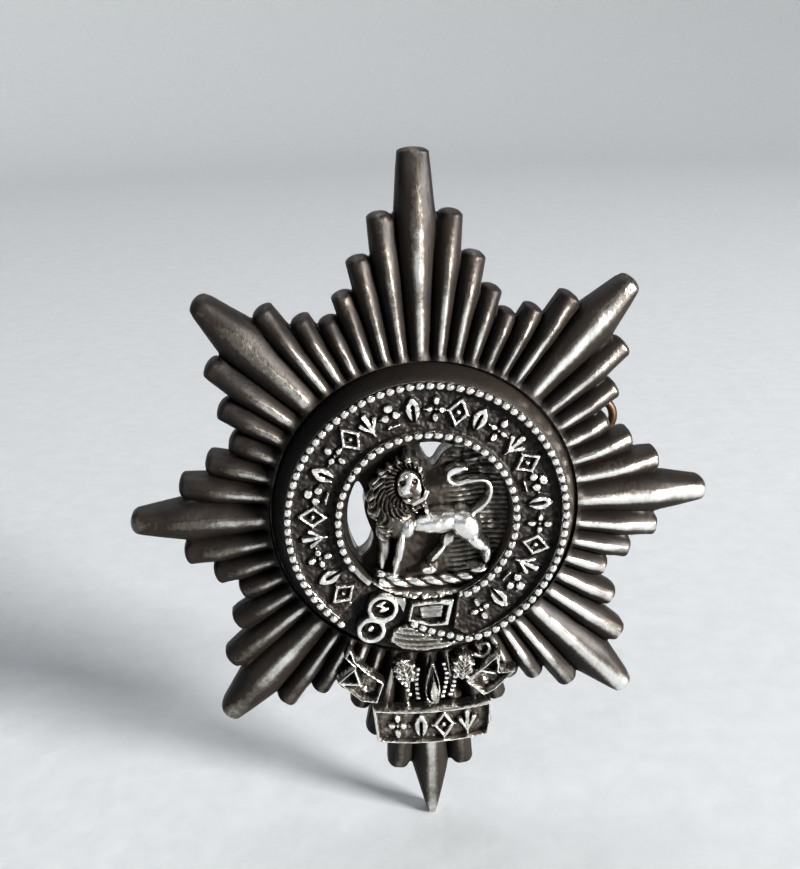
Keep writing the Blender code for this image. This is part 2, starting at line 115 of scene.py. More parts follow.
def fromLine(x, y, start, end, startWidth=0.0, endWidth=0.0):
    # distance to a straight stroke whose half width runs from one value to another
    (ax, ay), (bx, by) = start, end
    dx, dy = bx - ax, by - ay
    share = np.clip(((x - ax) * dx + (y - ay) * dy) / (dx * dx + dy * dy), 0, 1)
    return np.hypot(x - ax - share * dx, y - ay - share * dy) - mix(startWidth, endWidth, share)


def fromPath(x, y, points, width=0.0, endWidth=None):
    # distance to a stroke along several points
    endWidth = width if endWidth is None else endWidth
    widths = np.linspace(width, endWidth, len(points))
    pieces = [fromLine(x, y, points[i], points[i + 1], widths[i], widths[i + 1])
              for i in range(len(points) - 1)]
    return np.min(pieces, axis=0)


def fromPolygon(x, y, corners):
    # distance to the nearest side, with the sign from how many sides lie to the right
    inside = np.zeros(x.shape, bool)
    nearest = np.full(x.shape, 1e9)
    for (ax, ay), (bx, by) in zip(corners, np.roll(corners, -1, axis=0)):
        nearest = np.minimum(nearest, fromLine(x, y, (ax, ay), (bx, by)))
        if ay != by:
            inside ^= ((ay > y) != (by > y)) & (x < ax + (y - ay) * (bx - ax) / (by - ay))
    return np.where(inside, -nearest, nearest)


def fromEllipse(x, y, cx, cy, halfLength, halfWidth, tilt=0.0):
    # how far outside the ellipse's own measure a point is, times its half width
    c, s = math.cos(math.radians(tilt)), math.sin(math.radians(tilt))
    u, v = (x - cx) * c + (y - cy) * s, (y - cy) * c - (x - cx) * s
    return (np.hypot(u / halfLength, v / halfWidth) - 1) * min(halfLength, halfWidth)


def spline(before, here, after, beyond, each):
    # Catmull-Rom, in equal steps of t from here to after: half of
    # 2b + (c - a)t + (2a - 5b + 4c - d)t^2 + (3b - a - 3c + d)t^3
    t = (np.arange(each) / each)[None, :, None]
    a, b, c, d = (q[:, None, :] for q in (before, here, after, beyond))
    return 0.5 * (2 * b + (c - a) * t + (2 * a - 5 * b + 4 * c - d) * t ** 2
                  + (3 * b - a - 3 * c + d) * t ** 3)


def rounded(points, each=8):
    # a closed smooth line through the points
    p = np.array(points, float)
    return spline(np.roll(p, 1, 0), p, np.roll(p, -1, 0), np.roll(p, -2, 0), each).reshape(-1, 2)


def smoothPath(points, count):
    # an open smooth line through the points, with equal steps along it
    p = np.array(points, float)
    p = np.concatenate([2 * p[:1] - p[1:2], p, 2 * p[-1:] - p[-2:-1]])
    line = spline(p[:-3], p[1:-2], p[2:-1], p[3:], 24)
    line = np.concatenate([line.reshape(-1, p.shape[1]), p[-2:-1]])
    run = np.concatenate([[0], np.cumsum(np.linalg.norm(np.diff(line, axis=0), axis=1))])
    wanted = np.linspace(0, run[-1], count)
    return np.stack([np.interp(wanted, run, line[:, k]) for k in range(p.shape[1])], -1)


# Materials

class Nodes:
    # a short way to write a material's nodes
    def __init__(self, name):
        self.material = bpy.data.materials.new(name)
        self.material.use_nodes = True
        self.tree = self.material.node_tree
        self.shader = self.tree.nodes["Principled BSDF"]

    def add(self, kind, settings=None, **inputs):
        node = self.tree.nodes.new("ShaderNode" + kind)
        for key, value in (settings or {}).items():
            setattr(node, key, value)
        for key, value in inputs.items():
            self.put(node, key.replace("_", " "), value)
        return node

    def put(self, node, key, value):
        socket = node.inputs[int(key[1:])] if key[0] == "i" and key[1:].isdigit() else node.inputs[key]
        if isinstance(value, bpy.types.NodeSocket):
            self.tree.links.new(value, socket)
        else:
            socket.default_value = value

    def maths(self, operation, a, b=0.0, clamp=False):
        return self.add("Math", {"operation": operation, "use_clamp": clamp}, i0=a, i1=b).outputs[0]

    def centred(self, value, share):
        # a pattern from 0 to 1 made to swing evenly about 0
        return self.maths("MULTIPLY", self.maths("SUBTRACT", value, 0.5), share)

    def noise(self, where, scale, detail=4.0, roughness=0.55):
        return self.add("TexNoise", None, Vector=where, Scale=scale, Detail=detail,
                        Roughness=roughness).outputs["Fac"]

    def ramp(self, value, stops):
        node = self.add("ValToRGB", None, Fac=value)
        bands = node.color_ramp.elements
        while len(bands) < len(stops):
            bands.new(0.5)
        for band, (at, colour) in zip(bands, stops):
            band.position = at
            band.color = (*colour, 1)
        return node.outputs["Color"]

    def between(self, value, low, high, fromLow=0.0, fromHigh=1.0):
        node = self.add("MapRange", {"interpolation_type": "SMOOTHSTEP"}, Value=value)
        for key, number in (("From Min", fromLow), ("From Max", fromHigh), ("To Min", low), ("To Max", high)):
            self.put(node, key, number)
        return node.outputs["Result"]


def wornMetal(name, look):
    # Polished metal on the crests and dark tarnish in the hollows. The wear of each point, which on the
    # star's rays and the belt's collar also holds painted highlight and painted shade, broken up by two sizes
    # of mottling, says which shows, and fine scratches cross the polished part.
    n = Nodes(name)
    where = n.add("TexCoord").outputs["Object"]
    wearAndPaintedLight = n.add("Attribute", {"attribute_name": "wearAndPaintedLight"}).outputs["Fac"]
    fine = n.noise(where, look["fineScale"], 5.0, 0.6)
    broad = n.noise(where, look["broadScale"], 3.0)
    stretched = n.add("Mapping", None, Vector=where, Scale=(1.0, 1.0, 0.12),
                      Rotation=(0.3, 0.5, 0.2)).outputs[0]
    scratch = n.noise(stretched, look["scratchScale"], 2.0)
    spread = n.maths("ADD", n.centred(fine, look["fineShare"]), n.centred(broad, look["broadShare"]))
    mask = n.maths("ADD", wearAndPaintedLight, spread, True)
    colour = n.ramp(mask, look["colours"])
    n.put(n.shader, "Base Color", colour)
    n.put(n.shader, "Metallic", n.between(mask, look["tarnishMetal"], 1.0, 0.1, 0.6))
    rough = n.between(mask, look["tarnishRough"], look["polishRough"], 0.1, 0.75)
    rough = n.maths("ADD", rough, n.centred(scratch, look["scratchRough"]), True)
    n.put(n.shader, "Roughness", rough)
    bumps = n.maths("ADD", n.maths("MULTIPLY", fine, 0.6), n.maths("MULTIPLY", scratch, 0.4))
    relief = n.add("Bump", None, Strength=look["bump"], Distance=look["bumpDepth"], Height=bumps)
    n.put(n.shader, "Normal", relief.outputs["Normal"])
    return n.material


antiqueSilver = wornMetal("antiqueSilver", {
    "fineScale": 6200, "fineShare": 0.5,
    "broadScale": 900, "broadShare": 0.3,
    "scratchScale": 9000, "scratchRough": 0.16,
    "colours": [(0.0, (0.007, 0.0052, 0.0045)), (0.3, (0.022, 0.0165, 0.013)), (0.55, (0.16, 0.146, 0.128)),
                (0.8, (0.62, 0.605, 0.57)), (1.0, (0.9, 0.89, 0.86))],
    "tarnishMetal": 0.45, "tarnishRough": 0.55, "polishRough": 0.24, "bump": 0.5, "bumpDepth": 0.00004,
})
darkenedSilver = wornMetal("darkenedSilver", {
    "fineScale": 6500, "fineShare": 0.5,
    "broadScale": 1500, "broadShare": 0.35,
    "scratchScale": 9000, "scratchRough": 0.1,
    "colours": [(0.0, (0.008, 0.006, 0.005)), (0.35, (0.028, 0.022, 0.018)), (0.65, (0.13, 0.12, 0.105)),
                (0.9, (0.4, 0.385, 0.36)), (1.0, (0.6, 0.59, 0.57))],
    "tarnishMetal": 0.45, "tarnishRough": 0.66, "polishRough": 0.38, "bump": 0.45, "bumpDepth": 0.00003,
})
lugCopper = wornMetal("lugCopper", {
    "fineScale": 3500, "fineShare": 0.4,
    "broadScale": 700, "broadShare": 0.5,
    "scratchScale": 6000, "scratchRough": 0.15,
    "colours": [(0.0, (0.05, 0.022, 0.012)), (0.35, (0.2, 0.085, 0.045)), (0.7, (0.6, 0.29, 0.17)),
                (1.0, (0.82, 0.47, 0.3))],
    "tarnishMetal": 0.7, "tarnishRough": 0.6, "polishRough": 0.33, "bump": 0.3, "bumpDepth": 0.00003,
})
pinBrass = wornMetal("pinBrass", {
    "fineScale": 3000, "fineShare": 0.45,
    "broadScale": 600, "broadShare": 0.5,
    "scratchScale": 6000, "scratchRough": 0.15,
    "colours": [(0.0, (0.012, 0.008, 0.005)), (0.35, (0.035, 0.021, 0.012)), (0.7, (0.1, 0.064, 0.034)),
                (1.0, (0.36, 0.25, 0.13))],
    "tarnishMetal": 0.45, "tarnishRough": 0.6, "polishRough": 0.34, "bump": 0.35, "bumpDepth": 0.00003,
})
print("materials ready")

# Meshes

def gridFaces(rows, columns, wrapRows=False, wrapColumns=False):
    # the four corners of every cell of a grid of points that is stored row by row
    r, c = np.meshgrid(np.arange(rows - (not wrapRows)), np.arange(columns - (not wrapColumns)),
                       indexing="ij")
    r2, c2 = (r + 1) % rows, (c + 1) % columns
    cells = np.stack([r * columns + c, r * columns + c2, r2 * columns + c2, r2 * columns + c], -1)
    return cells.reshape(-1, 4)


def soften(height, cells, wrap=False):
    # three running means in each direction, which together are close to a Gaussian blur
    width = 2 * cells + 1
    for axis in (0, 1):
        edges = "wrap" if wrap and axis == 0 else "edge"
        for _ in range(3):
            pads = [(0, 0), (0, 0)]
            pads[axis] = (cells + 1, cells)
            total = np.cumsum(np.pad(height, pads, mode=edges), axis=axis)
            upper = np.take(total, range(width, total.shape[axis]), axis=axis)
            lower = np.take(total, range(0, total.shape[axis] - width), axis=axis)
            height = (upper - lower) / width
    return height


def shell(points, quads, triangles=None, wearAndPaintedLight=0.5):
    # one closed skin, turned so that its faces point outwards: its signed volume is positive
    points = np.asarray(points, float).reshape(-1, 3)
    triangles = np.zeros((0, 3), int) if triangles is None else np.asarray(triangles, int)
    split = np.concatenate([quads[:, [0, 1, 2]], quads[:, [0, 2, 3]], triangles])
    a, b, c = (points[split[:, k]] - points.mean(0) for k in range(3))
    if np.einsum("ij,ij->", a, np.cross(b, c)) < 0:
        quads, triangles = quads[:, ::-1], triangles[:, ::-1]
    return points, quads, triangles, np.broadcast_to(np.asarray(wearAndPaintedLight, float).ravel(), len(points))


def build(name, shells, node, material=antiqueSilver, body="badge", smooth=40):
    # the skins become one mesh that stands for a node, with the wear and painted light and shade of each
    # point beside it
    counts = np.cumsum([0] + [len(s[0]) for s in shells])
    points = place(np.concatenate([s[0] for s in shells]))
    quads = np.concatenate([s[1] + n for s, n in zip(shells, counts)])
    triangles = np.concatenate([s[2] + n for s, n in zip(shells, counts)])
    mesh = bpy.data.meshes.new(name)
    mesh.vertices.add(len(points))
    mesh.vertices.foreach_set("co", points.astype(np.float32).ravel())
    mesh.loops.add(quads.size + triangles.size)
    corners = np.concatenate([quads.ravel(), triangles.ravel()])
    mesh.loops.foreach_set("vertex_index", corners.astype(np.int32))
    mesh.polygons.add(len(quads) + len(triangles))
    starts = np.concatenate([np.arange(len(quads)) * 4, quads.size + np.arange(len(triangles)) * 3])
    mesh.polygons.foreach_set("loop_start", starts.astype(np.int32))
    mesh.update(calc_edges=True)
    mesh.attributes.new("wearAndPaintedLight", "FLOAT", "POINT").data.foreach_set(
        "value", np.concatenate([s[3] for s in shells]).astype(np.float32))
    mesh.shade_smooth()
    mesh.set_sharp_from_angle(angle=math.radians(smooth))
    mesh.materials.append(material)
    made = bpy.data.objects.new(name, mesh)
    bpy.context.scene.collection.objects.link(made)
    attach(made, body)
    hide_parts(node)
    print(f"{name}: {len(quads) * 2 + len(triangles)} triangles")


def cast(distance, height, low, high, step, foot, under=None, reach=0.12, gain=3.0, bias=0.0):
    # A relief on a square grid: height(x, y, depth inside the edge) over every cell whose distance
    # is negative, with the cells' outer corners drawn in to the edge, straight walls and a flat back.
    x, y = np.meshgrid(np.arange(low[0], high[0] + step, step), np.arange(low[1], high[1] + step, step))
    far = distance(x, y)
    inside = far < -0.3 * step
    cells = inside[:-1, :-1] | inside[1:, :-1] | inside[:-1, 1:] | inside[1:, 1:]
    for _ in range(4):
        block = np.pad(cells, 1)
        a, b, c, d = block[:-1, :-1], block[:-1, 1:], block[1:, :-1], block[1:, 1:]
        pinch = (a & d & ~b & ~c) | (b & c & ~a & ~d)
        cells |= pinch[:-1, :-1]
    rows, columns = x.shape
    quads = gridFaces(rows, columns)[cells.ravel()]
    used, quads = np.unique(quads, return_inverse=True)
    quads = quads.reshape(-1, 4)
    px, py, loose = x.ravel()[used], y.ravel()[used], ~inside.ravel()[used]
    nudge = step / 20
    for _ in range(3):
        now = distance(px, py)
        gx = (distance(px + nudge, py) - now) / nudge
        gy = (distance(px, py + nudge) - now) / nudge
        size = np.maximum(gx * gx + gy * gy, 0.2)
        px, py = px - loose * now * gx / size, py - loose * now * gy / size
    depth = np.where(loose, 0.0, np.maximum(-distance(px, py), 0))
    top = height(px, py, depth)
    whole = np.where(far < 0, height(x, y, np.maximum(-far, 0)), foot if under is None else under)
    local = (whole - soften(whole, max(1, round(reach / step)))).ravel()[used]
    lift = bias(px, py) if callable(bias) else bias
    wearAndPaintedLight = np.clip(0.5 + lift + gain * local, 0, 1)
    edges = np.concatenate([quads[:, [0, 1]], quads[:, [1, 2]], quads[:, [2, 3]], quads[:, [3, 0]]])
    _, first, times = np.unique(np.sort(edges, axis=1), axis=0, return_index=True, return_counts=True)
    rim = edges[first[times == 1]]
    count = len(used)
    walls = np.stack([rim[:, 1], rim[:, 0], rim[:, 0] + count, rim[:, 1] + count], -1)
    upper = np.stack([px, py, top], -1)
    lower = np.stack([px, py, np.full(count, float(foot))], -1)
    faces = np.concatenate([quads, quads[:, ::-1] + count, walls])
    return shell(np.concatenate([upper, lower]), faces, None, np.concatenate([wearAndPaintedLight, wearAndPaintedLight * 0.6]))


def castInside(line, *rest, **options):
    # a relief bounded by a closed line
    return cast(lambda x, y: fromPolygon(x, y, line), *rest, **options)


def sweep(path, radius, around=12, up=(0, 0, 1), closed=False, wearAndPaintedLight=0.6, section=None):
    # A ring of points round each point of the path: the path, plus the radius times the section's
    # cosine to the side and sine along up. radius(run, turn) gives it as a share along and an angle.
    path = np.asarray(path, float)
    if closed:
        ahead, behind = np.roll(path, -1, 0), np.roll(path, 1, 0)
    else:
        ahead, behind = np.concatenate([path[1:], path[-1:]]), np.concatenate([path[:1], path[:-1]])
    along = ahead - behind
    along /= np.linalg.norm(along, axis=1, keepdims=True)
    side = np.cross(np.broadcast_to(up, path.shape), along)
    side /= np.linalg.norm(side, axis=1, keepdims=True)
    rise = np.cross(along, side)
    rows = len(path)
    run = np.linspace(0, 1, rows + closed)[:rows, None]
    turn = (np.arange(around) * 2 * math.pi / around)[None, :]
    size = np.broadcast_to(radius(run, turn) if callable(radius) else radius, (rows, around))
    across, over = (np.cos(turn), np.sin(turn)) if section is None else section(turn)
    points = (path[:, None, :] + (size * across)[..., None] * side[:, None, :]
              + (size * over)[..., None] * rise[:, None, :])
    wornAndLit = np.broadcast_to(wearAndPaintedLight(run, turn) if callable(wearAndPaintedLight) else wearAndPaintedLight, (rows, around))
    quads = gridFaces(rows, around, closed, True)
    if closed:
        return shell(points, quads, None, wornAndLit)
    ends = np.stack([path[0], path[-1]])
    ring = np.arange(around)
    first = np.stack([np.full(around, rows * around), (ring + 1) % around, ring], -1)
    last = np.stack([np.full(around, rows * around + 1), ring + (rows - 1) * around,
                     (ring + 1) % around + (rows - 1) * around], -1)
    return shell(np.concatenate([points.reshape(-1, 3), ends]), quads, np.concatenate([first, last]),
                 np.concatenate([wornAndLit.ravel(), [wornAndLit[0].mean(), wornAndLit[-1].mean()]]))


def domed(depth, width):
    # an edge that rises like a quarter circle over the width
    share = np.clip(depth / width, 0, 1)
    return np.sqrt(np.maximum(1 - (1 - share) ** 2, 0))


# Openings in the field that also pierce the star behind it
crescent = rounded([(-2.35, 1.3), (-2.66, 0.7), (-2.76, 0.0), (-2.7, -0.75), (-2.45, -1.5), (-2.3, -1.6),
                    (-2.0, -1.3), (-1.86, -0.8), (-1.98, -0.4), (-2.14, 0.2), (-2.1, 0.75)], 5)
wedge = rounded([(-0.1, 2.6), (1.1, 2.42), (0.7, 2.1), (0.36, 1.65), (0.12, 1.87)], 4)


def fromVoids(x, y):
    return np.minimum(fromPolygon(x, y, crescent), fromPolygon(x, y, wedge))


# Star

star = {
    "tipHalf": 0.45, "flankHalf": 0.42, "topHalf": 0.54, "bottomHalf": 0.2,  # half widths of the tips
    "tipLengths": (0.16, 0.34, 0.22),  # of an upright, another main and a flank ray's round end
    "edgeRolls": (0.15, 0.3, 0.2),  # width of their rolled edges
    "mainAngle": 3.7, "uprightReach": 12, "diagonalReach": 10.9,  # main rays have a wider half angle
    "notch": 0.1, "seat": 0.9, "ridge": 1.15, "valleyDrop": 0.52, "edge": 0.38,
    "seatRadius": 5.5, "innerRadius": 3.3, "backHollow": 0.12, "columns": 16, "rows": 34,
}
# each quarter's rays: angle, half angle, reach, half width of the tip
steep = [10.6, 9.3, 8.3, 7.7, 8.2, 9.2]
shallow = [8.7, 7.9, 7.3, 8.1, 9.2]


def flankRays(start, end, reaches):
    half = (end - start) / len(reaches) / 2
    return [(start + half * (2 * k + 1), half, reach, star["flankHalf"])
            for k, reach in enumerate(reaches)]


mainTip = star["tipHalf"]
quarter = [(0, 5.0, sideReach, mainTip), *flankRays(5, 41, shallow),
           (46, 5.0, star["diagonalReach"], mainTip), *flankRays(51, 86.2, steep[::-1]),
           (90, 3.8, topReach, star["topHalf"])]
halfTurn = quarter + [(180 - a, h, r, w) for a, h, r, w in quarter[-2::-1]]
rays = np.array(halfTurn + [(360 - a, h, r, w) for a, h, r, w in halfTurn[-2:0:-1]])
rays[rays[:, 0] == 270, 3] = star["bottomHalf"]


def makeStar():
    # Each column is one direction: s runs from -1 in one valley over a ray's crest at 0 to 1 in the
    # next valley. A ray's outline is straight sides up to a half ellipse, met in that direction. A
    # point is a share of the way from the seat out to it. The height is the crest's, less the
    # valley's drop times a rounded curve of s, rolled off towards the outline.
    angle, half, reach, tip = (rays[:, k][:, None] for k in range(4))
    notch = np.minimum(reach, np.roll(reach, 1, 0)) - star["notch"]
    s = (-1 + 2 * np.arange(star["columns"]) / star["columns"])[None, :]
    near = np.where(s < 0, notch, np.roll(notch, -1, 0))
    hr = np.radians(half)
    turned = s * hr
    main, upright = half > star["mainAngle"], reach > star["uprightReach"]
    long, rim = (np.where(upright, a, np.where(main, b, c))
                 for a, b, c in (star["tipLengths"], star["edgeRolls"]))
    base = reach - long
    tip = np.minimum(tip, 0.95 * base * np.sin(hr))
    # straight side from the notch to the tip's shoulder
    nx, ny = near * np.cos(hr), near * np.sin(hr)
    sx, sy = base - nx, tip - ny
    side = (nx * sy - ny * sx) / (np.cos(turned) * sy - np.sin(np.abs(turned)) * sx)
    # half ellipse at the tip
    ca, cb = np.cos(turned) / long, np.sin(turned) / tip
    qa, qb, qc = ca * ca + cb * cb, -2 * ca * base / long, (base / long) ** 2 - 1
    inside = qb * qb - 4 * qa * qc
    cap = (-qb + np.sqrt(np.maximum(inside, 0))) / (2 * qa)
    capped = (inside > 0) & (cap * np.cos(turned) >= base)
    edge = np.where(capped, cap, side)
    roll = np.array([1.1, 0.85, 0.66, 0.5, 0.38, 0.28, 0.2, 0.14, 0.09, 0.05, 0.02, 0.0])[:, None, None]
    seat = star["seatRadius"]
    body = seat + (edge - roll[0] - seat) * np.linspace(0, 1, star["rows"])[:-1, None, None]
    radius = np.concatenate([body, edge - roll])
    a, b = radius * np.cos(turned), np.abs(radius * np.sin(turned))
    # depth inside the outline: the way to the straight side's stretch or out to the tip's curve
    share = np.clip(((a - nx) * sx + (b - ny) * sy) / (sx * sx + sy * sy), 0, 1)
    toSide = np.hypot(a - nx - share * sx, b - ny - share * sy)
    stretched = np.maximum(np.hypot((a - base) / long, b / tip), 1e-6)
    toCap = np.hypot(a - base, b) * (1 / stretched - 1)
    depth = np.where(a > base, np.minimum(np.maximum(toCap, 0), toSide + 9 * capped), toSide)
    # a pleat is half round with a narrow valley, and lies lower and flatter towards its end
    out = np.clip((radius - seat) / (reach - seat), 0, 1)
    drop = 0.4 * s ** 2 + 0.6 * (1 - np.sqrt(np.maximum(1 - (0.985 * s) ** 2, 0)))
    crest = star["ridge"] - 0.05 * out - 0.24 * ease(out, 0.55, 1.0)
    deep = star["valleyDrop"] * ease(radius, seat - 0.05, seat + 0.25) * (1 - 0.35 * ease(out, 0.75, 1.0))
    wander = 0.018 * grain(radius * 1.3 + angle, angle * 3 + s, 0.6, 5)
    z = crest - deep * drop + wander
    z = star["edge"] + (z - star["edge"]) * domed(depth, rim)
    turn = np.radians(angle) + turned
    x, y = radius * np.cos(turn), radius * np.sin(turn)
    # worn bright along a narrow line on the crest, as polish and as a painted highlight, dull towards the end
    # and dark by the belt as painted shade at the foot of its collar.
    # Rays that point to the lower right, towards the light, are painted brighter, and those that point away
    # are painted duller as shade.
    line = 1 - ease(np.abs(s), 0.1, 0.46)
    # painted light: 1 for rays that point to the lower right, where the light comes from, -1 for rays that
    # point away
    paintedLightFacing = np.cos(np.radians(angle + 32))
    # dull towards the end, more so on rays that point away from the light: painted shade
    tipDullingAndShade = np.clip(np.where(main, 0.45, 0.75) - 0.35 * paintedLightFacing, 0, 0.92) * ease(out, 0.35, 0.85)
    wornAndLit = 0.07 + (0.7 + 0.22 * paintedLightFacing) * line * (1 - tipDullingAndShade) + 0.12 * (1 - np.abs(s))
    # painted shade in the corner at the foot of the belt's collar
    wornAndLit -= 0.45 * (1 - ease(radius, seat, seat + 0.35))
    wornAndLit += 0.15 * grain(x, y, 1.3, 6) + 0.1 * grain(x, y, 0.45, 7)
    # painted shade on the star between the flame, the leaves and the scroll laid over it
    wornAndLit -= 0.3 * ease(-y, 5.3, 5.9) * (1 - ease(np.abs(x), 1.6, 2.6)) * (1 - ease(-y, 7.5, 9.2))
    wornAndLit = np.clip(wornAndLit, 0, 1)
    hollow = star["backHollow"] * (1 - np.abs(s) ** 2) * ease(depth, 0.3, 0.8) * ease(radius, 6.0, 6.6)

    def flat(values):
        return np.broadcast_to(values, x.shape).reshape(x.shape[0], -1)

    x, y, z, wornAndLit, hollow = (flat(v) for v in (x, y, z, wornAndLit, hollow))
    inX, inY = x[0] / seat * star["innerRadius"], y[0] / seat * star["innerRadius"]
    level = np.full_like(inX, star["seat"])
    points = np.stack([np.stack([inX, inY, level], -1), np.stack([x[0] * 0.995, y[0] * 0.995, level], -1),
                       *np.stack([x, y, z], -1), *np.stack([x, y, hollow], -1)[::-1],
                       np.stack([inX, inY, 0 * level], -1)])
    inner = np.full((1, x.shape[1]), 0.35)
    wearAndPaintedLight = np.concatenate([inner, inner, wornAndLit, 0.42 + 0.2 * hollow[::-1] / star["backHollow"], inner])
    quads = gridFaces(len(points), points.shape[1], True, True)
    lap, sink = 0.02, 0.006  # the pierced disc laps over the ring of rays and lies a hair inside it
    disc = cast(lambda x, y: np.maximum(np.hypot(x, y) - star["innerRadius"] - lap, -fromVoids(x, y)),
                lambda x, y, d: np.full_like(x, star["seat"] - sink), (-3.45, -3.45), (3.45, 3.45), 0.06,
                sink, under=star["seat"], bias=0.2)
    build("starPlate", [shell(points, quads, None, wearAndPaintedLight), disc], "star_plate")


makeStar()

# Belt: a sunken band between two borders, with raised ornaments in place of words

belt = {
    "inner": 3.0, "innerBorder": 3.27, "outerBorder": 4.72, "outer": 5.0, "face": 1.80, "border": 1.94,
    "ornamentRise": 0.19, "ledge": 1.45, "steps": 840,
    "ornaments": 26, "firstAngle": 226.0, "lastAngle": -68.5, "middle": 4.0, "radiusStep": 0.033,
}
band = belt["outer"] - belt["inner"]
ledge = np.array([(228, -0.4), (228, 1.7), (270, 1.7), (290, 1.7), (287.5, 0.96), (281, 0.69),
                  (292.5, -0.09), (270, -0.5)])
ledgeLine = polar(belt["inner"] + band * ledge[:, 1], ledge[:, 0])


def lozenge(u, v):
    # an open diamond round a pellet
    outer = (np.abs(u) / 0.36 + np.abs(v) / 0.52 - 1) * 0.29
    return np.minimum(np.abs(outer + 0.03) - 0.08, np.hypot(u, v) - 0.1)


def quatrefoil(u, v):
    # four petals round a small eye
    petals = np.minimum(fromEllipse(np.abs(u), v, 0.22, 0, 0.15, 0.13),
                        fromEllipse(u, np.abs(v), 0, 0.31, 0.13, 0.19))
    return np.minimum(petals, np.hypot(u, v) - 0.08)


def leaf(u, v):
    # a pointed leaf with a groove down its middle
    bow = np.abs(u) - 0.27 * (1 - (v / 0.52) ** 2)
    return np.maximum(np.maximum(bow, np.abs(v) - 0.5), 0.03 - np.abs(u) - 0.1 * ease(v, 0.1, 0.3))


def trefoil(u, v):
    # three round petals over a short bar
    petals = np.minimum(np.hypot(u, v - 0.28) - 0.18, np.hypot(np.abs(u) - 0.2, v + 0.03) - 0.165)
    return np.minimum(petals, fromLine(u, v, (-0.2, -0.4), (0.2, -0.4), 0.075, 0.075))


def sprig(u, v):
    # three leaves on one stem
    side = fromLine(np.abs(u), v, (0.04, -0.3), (0.26, 0.14), 0.06, 0.105)
    return np.minimum(side, fromLine(u, v, (0, -0.46), (0, 0.38), 0.07, 0.12))


motifs = [lozenge, leaf, quatrefoil, sprig, lozenge, trefoil, leaf, quatrefoil, lozenge, sprig, trefoil,
          leaf, quatrefoil]


def ornamentDistance(u, v, kinds, pitch):
    # u runs along the row from its start: each stretch of one pitch holds one ornament
    slot = np.clip(np.floor(u / pitch).astype(int), 0, len(kinds) - 1)
    local = u - (slot + 0.5) * pitch
    found = np.full(u.shape, 9.0)
    for kind in dict.fromkeys(kinds):
        mine = np.isin(slot, [k for k, name in enumerate(kinds) if name is kind])
        found = np.where(mine, kind(local, v), found)
    return found


def beltHeight(radius, degrees):
    # the face's height, with borders, ornaments, separating pellets and a fine hammered ground
    span = (belt["firstAngle"] - belt["lastAngle"]) / belt["ornaments"]
    behind = (belt["firstAngle"] - degrees) % 360
    pitch = math.radians(span) * belt["middle"]
    u = behind / span * pitch
    v = (radius - belt["middle"]) * 1.04
    kinds = [motifs[k % len(motifs)] for k in range(belt["ornaments"])]
    shape = ornamentDistance(u, v, kinds, pitch)
    gap = (u / pitch + 0.5) % 1 - 0.5
    pellet = np.hypot(gap * pitch, v) - 0.065
    on = behind < span * belt["ornaments"]
    shape = np.where(on, np.minimum(shape, np.where(behind > span * 0.5, pellet, 9)), 9)
    x, y = radius * np.cos(np.radians(degrees)), radius * np.sin(np.radians(degrees))
    ground = belt["face"] + 0.025 * grain(x, y, 0.16, 3) + 0.02 * grain(x, y, 0.08, 4)
    domes = 0.86 + 0.14 * ease(-shape, 0, 0.07)
    z = ground + belt["ornamentRise"] * (1 - ease(shape, -0.05, 0.03)) * domes
    border = np.maximum(1 - ease(radius, belt["innerBorder"] - 0.08, belt["innerBorder"] + 0.02),
                        ease(radius, belt["outerBorder"] - 0.02, belt["outerBorder"] + 0.08))
    return mix(z, belt["border"], border)


def makeBelt():
    # a profile carried round the circle: wall, face, sloping collar and flat underside
    radius = np.concatenate([np.arange(belt["inner"], belt["outer"], belt["radiusStep"]), [belt["outer"]]])
    degrees = np.arange(belt["steps"])[:, None] * 360 / belt["steps"]
    z = beltHeight(radius[None, :], degrees)
    z[:, 0] -= 0.05
    z[:, -1] -= 0.03
    collar = np.array([(5.05, 1.88), (5.12, 1.74), (5.19, 1.58), (5.25, 1.42), (5.31, 1.27), (5.36, 1.13),
                       (5.4, 1.02), (footRadius, beltFoot)])
    rings = np.concatenate([radius, collar[:, 0], [4.2, belt["inner"]]])
    low = np.array([beltFoot, beltFoot])
    z = np.concatenate([z, np.broadcast_to(collar[:, 1], (len(z), len(collar))),
                        np.broadcast_to(low, (len(z), 2))], 1)
    x, y = rings * np.cos(np.radians(degrees)), rings * np.sin(np.radians(degrees))
    cut = 1 - ease(fromPolygon(x, y, ledgeLine), -0.03, 0.03)
    floor = belt["ledge"] + 0.02 * grain(x, y, 0.12, 8)
    z = np.where(z > belt["ledge"], mix(z, np.minimum(z, floor), cut), z)
    face = z[:, :len(radius)]
    wearAndPaintedLight = np.full(z.shape, 0.3)
    raised = ease(face, belt["face"] + 0.06, belt["face"] + belt["ornamentRise"])
    wearAndPaintedLight[:, :len(radius)] = 0.1 + 0.74 * raised + 3.5 * (face - soften(face, 4, True))
    # painted light and shade: the collar is lighter towards the lower right, where the light comes from, and
    # darkest at the upper left
    lit = 0.5 + 0.5 * np.cos(np.radians(degrees + 20))
    wearAndPaintedLight[:, len(radius):len(radius) + len(collar)] = 0.02 + 0.32 * lit
    wearAndPaintedLight -= 0.2 * cut
    points = np.stack([x, y, z], -1)
    quads = gridFaces(len(points), points.shape[1], True, True)
    build("beltRing", [shell(points, quads, None, np.clip(wearAndPaintedLight, 0, 1))], "belt_ring")


makeBelt()

# Beading

beads = {"radius": 0.135, "outer": 4.87, "inner": 3.13, "height": 2.105, "pitch": 0.345, "neck": 0.42}


